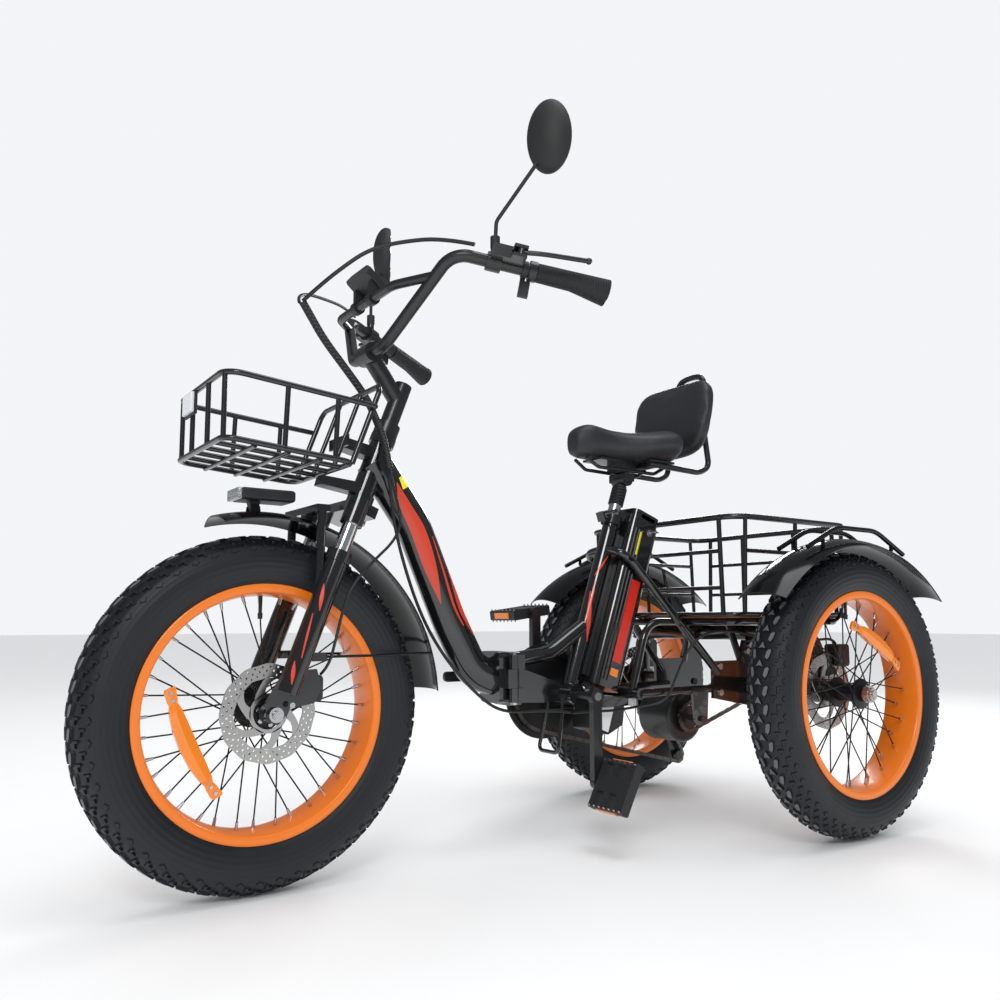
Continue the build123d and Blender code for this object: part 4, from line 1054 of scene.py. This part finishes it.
def basket_reflector():
    """The clear reflector on the front basket, and its backing plate."""
    plates = (("", 1262, (0.006, 0.052, 0.034), "white"), ("_back", 1257.5, (0.005, 0.060, 0.042), "plastic"))
    for part, x, size, finish in plates:
        name = f"basket_reflector{part}"
        bm = bmesh.new()
        slab(bm, at(x, -44, 806), size, bevel=0.002)
        piece(name, mesh_of(bm, name), finish, "front_frame", smooth=False)


def lock_ring():
    bm = bmesh.new()
    rod(bm, seat_line(405, 78, 45), seat_line(405, 78, 46.4), 0.0085, 0.0078, 28)
    piece("battery_lock_face", mesh_of(bm, "battery_lock_face"), "steel", "battery", smooth=False)


# ------------------------------------------------------------ floor and light


def stage():
    """A plain pale floor."""
    mesh = bpy.data.meshes.new("floor")
    bm = bmesh.new()
    bmesh.ops.create_grid(bm, x_segments=2, y_segments=2, size=30)
    bm.to_mesh(mesh)
    bm.free()
    floor = bpy.data.objects.new("floor", mesh)
    bpy.context.scene.collection.objects.link(floor)
    floor.location.z = -0.0005
    mesh.materials.append(material("studio_floor", (0.86, 0.86, 0.86), 0.8, grain=3, bump=0.0, vary=0.01))


def lamp(name, place, aim, size, power):
    light = bpy.data.lights.new(name, "AREA")
    light.shape = "RECTANGLE"
    light.size, light.size_y = size
    light.energy = power
    made = bpy.data.objects.new(name, light)
    bpy.context.scene.collection.objects.link(made)
    made.location = place
    made.rotation_euler = (Vector(aim) - Vector(place)).to_track_quat("-Z", "Y").to_euler()


def lighting():
    """A pale studio: bright all round, but dim in reflections, with three soft lamps."""
    world = bpy.data.worlds.new("studio")
    bpy.context.scene.world = world
    bpy.context.scene.view_settings.view_transform = "Standard"
    world.use_nodes = True
    tree = world.node_tree
    sky = tree.nodes["Background"]
    sky.inputs["Color"].default_value = (0.96, 0.98, 1.0, 1)
    sky.inputs["Strength"].default_value = 0.93
    dim = tree.nodes.new("ShaderNodeBackground")
    dim.inputs["Color"].default_value = (0.90, 0.95, 1.0, 1)
    dim.inputs["Strength"].default_value = 0.20
    ray = tree.nodes.new("ShaderNodeLightPath")
    blend = tree.nodes.new("ShaderNodeMixShader")
    tree.links.new(ray.outputs["Is Glossy Ray"], blend.inputs["Fac"])
    tree.links.new(sky.outputs["Background"], blend.inputs[1])
    tree.links.new(dim.outputs["Background"], blend.inputs[2])
    tree.links.new(blend.outputs["Shader"], tree.nodes["World Output"].inputs["Surface"])
    lamp("key", (2.4, 3.2, 3.0), (0, 0, 0.5), (1.6, 1.2), 64)
    lamp("top", (-0.4, 0.6, 3.6), (0, 0, 0.4), (1.8, 1.4), 26)
    lamp("rim_light", (-3.0, -2.2, 2.4), (0, 0, 0.6), (1.4, 1.0), 40)


def camera():
    """A view from ahead and to the left, low down."""
    lens = bpy.data.cameras.new("photo_camera")
    lens.sensor_width = 36
    lens.lens = 31.31856
    lens.shift_x = 0.01385
    lens.shift_y = 0.02933
    made = bpy.data.objects.new("photo_camera", lens)
    bpy.context.scene.collection.objects.link(made)
    ahead = Vector((-0.5607, -0.8215, 0.1051)).normalized()
    made.location = at(1658.4, 1430.6, 441.0)
    made.rotation_euler = ahead.to_track_quat("-Z", "Y").to_euler()
    bpy.context.scene.camera = made


finish_cad()
stage()
lighting()
camera()
wheels()
seat()
cables()
swooshes()
slivers()
stickers()
drive()
pedals()
fixings()
headlight_lens()
cockpit()
mirror_glasses()
basket_reflector()
lock_ring()
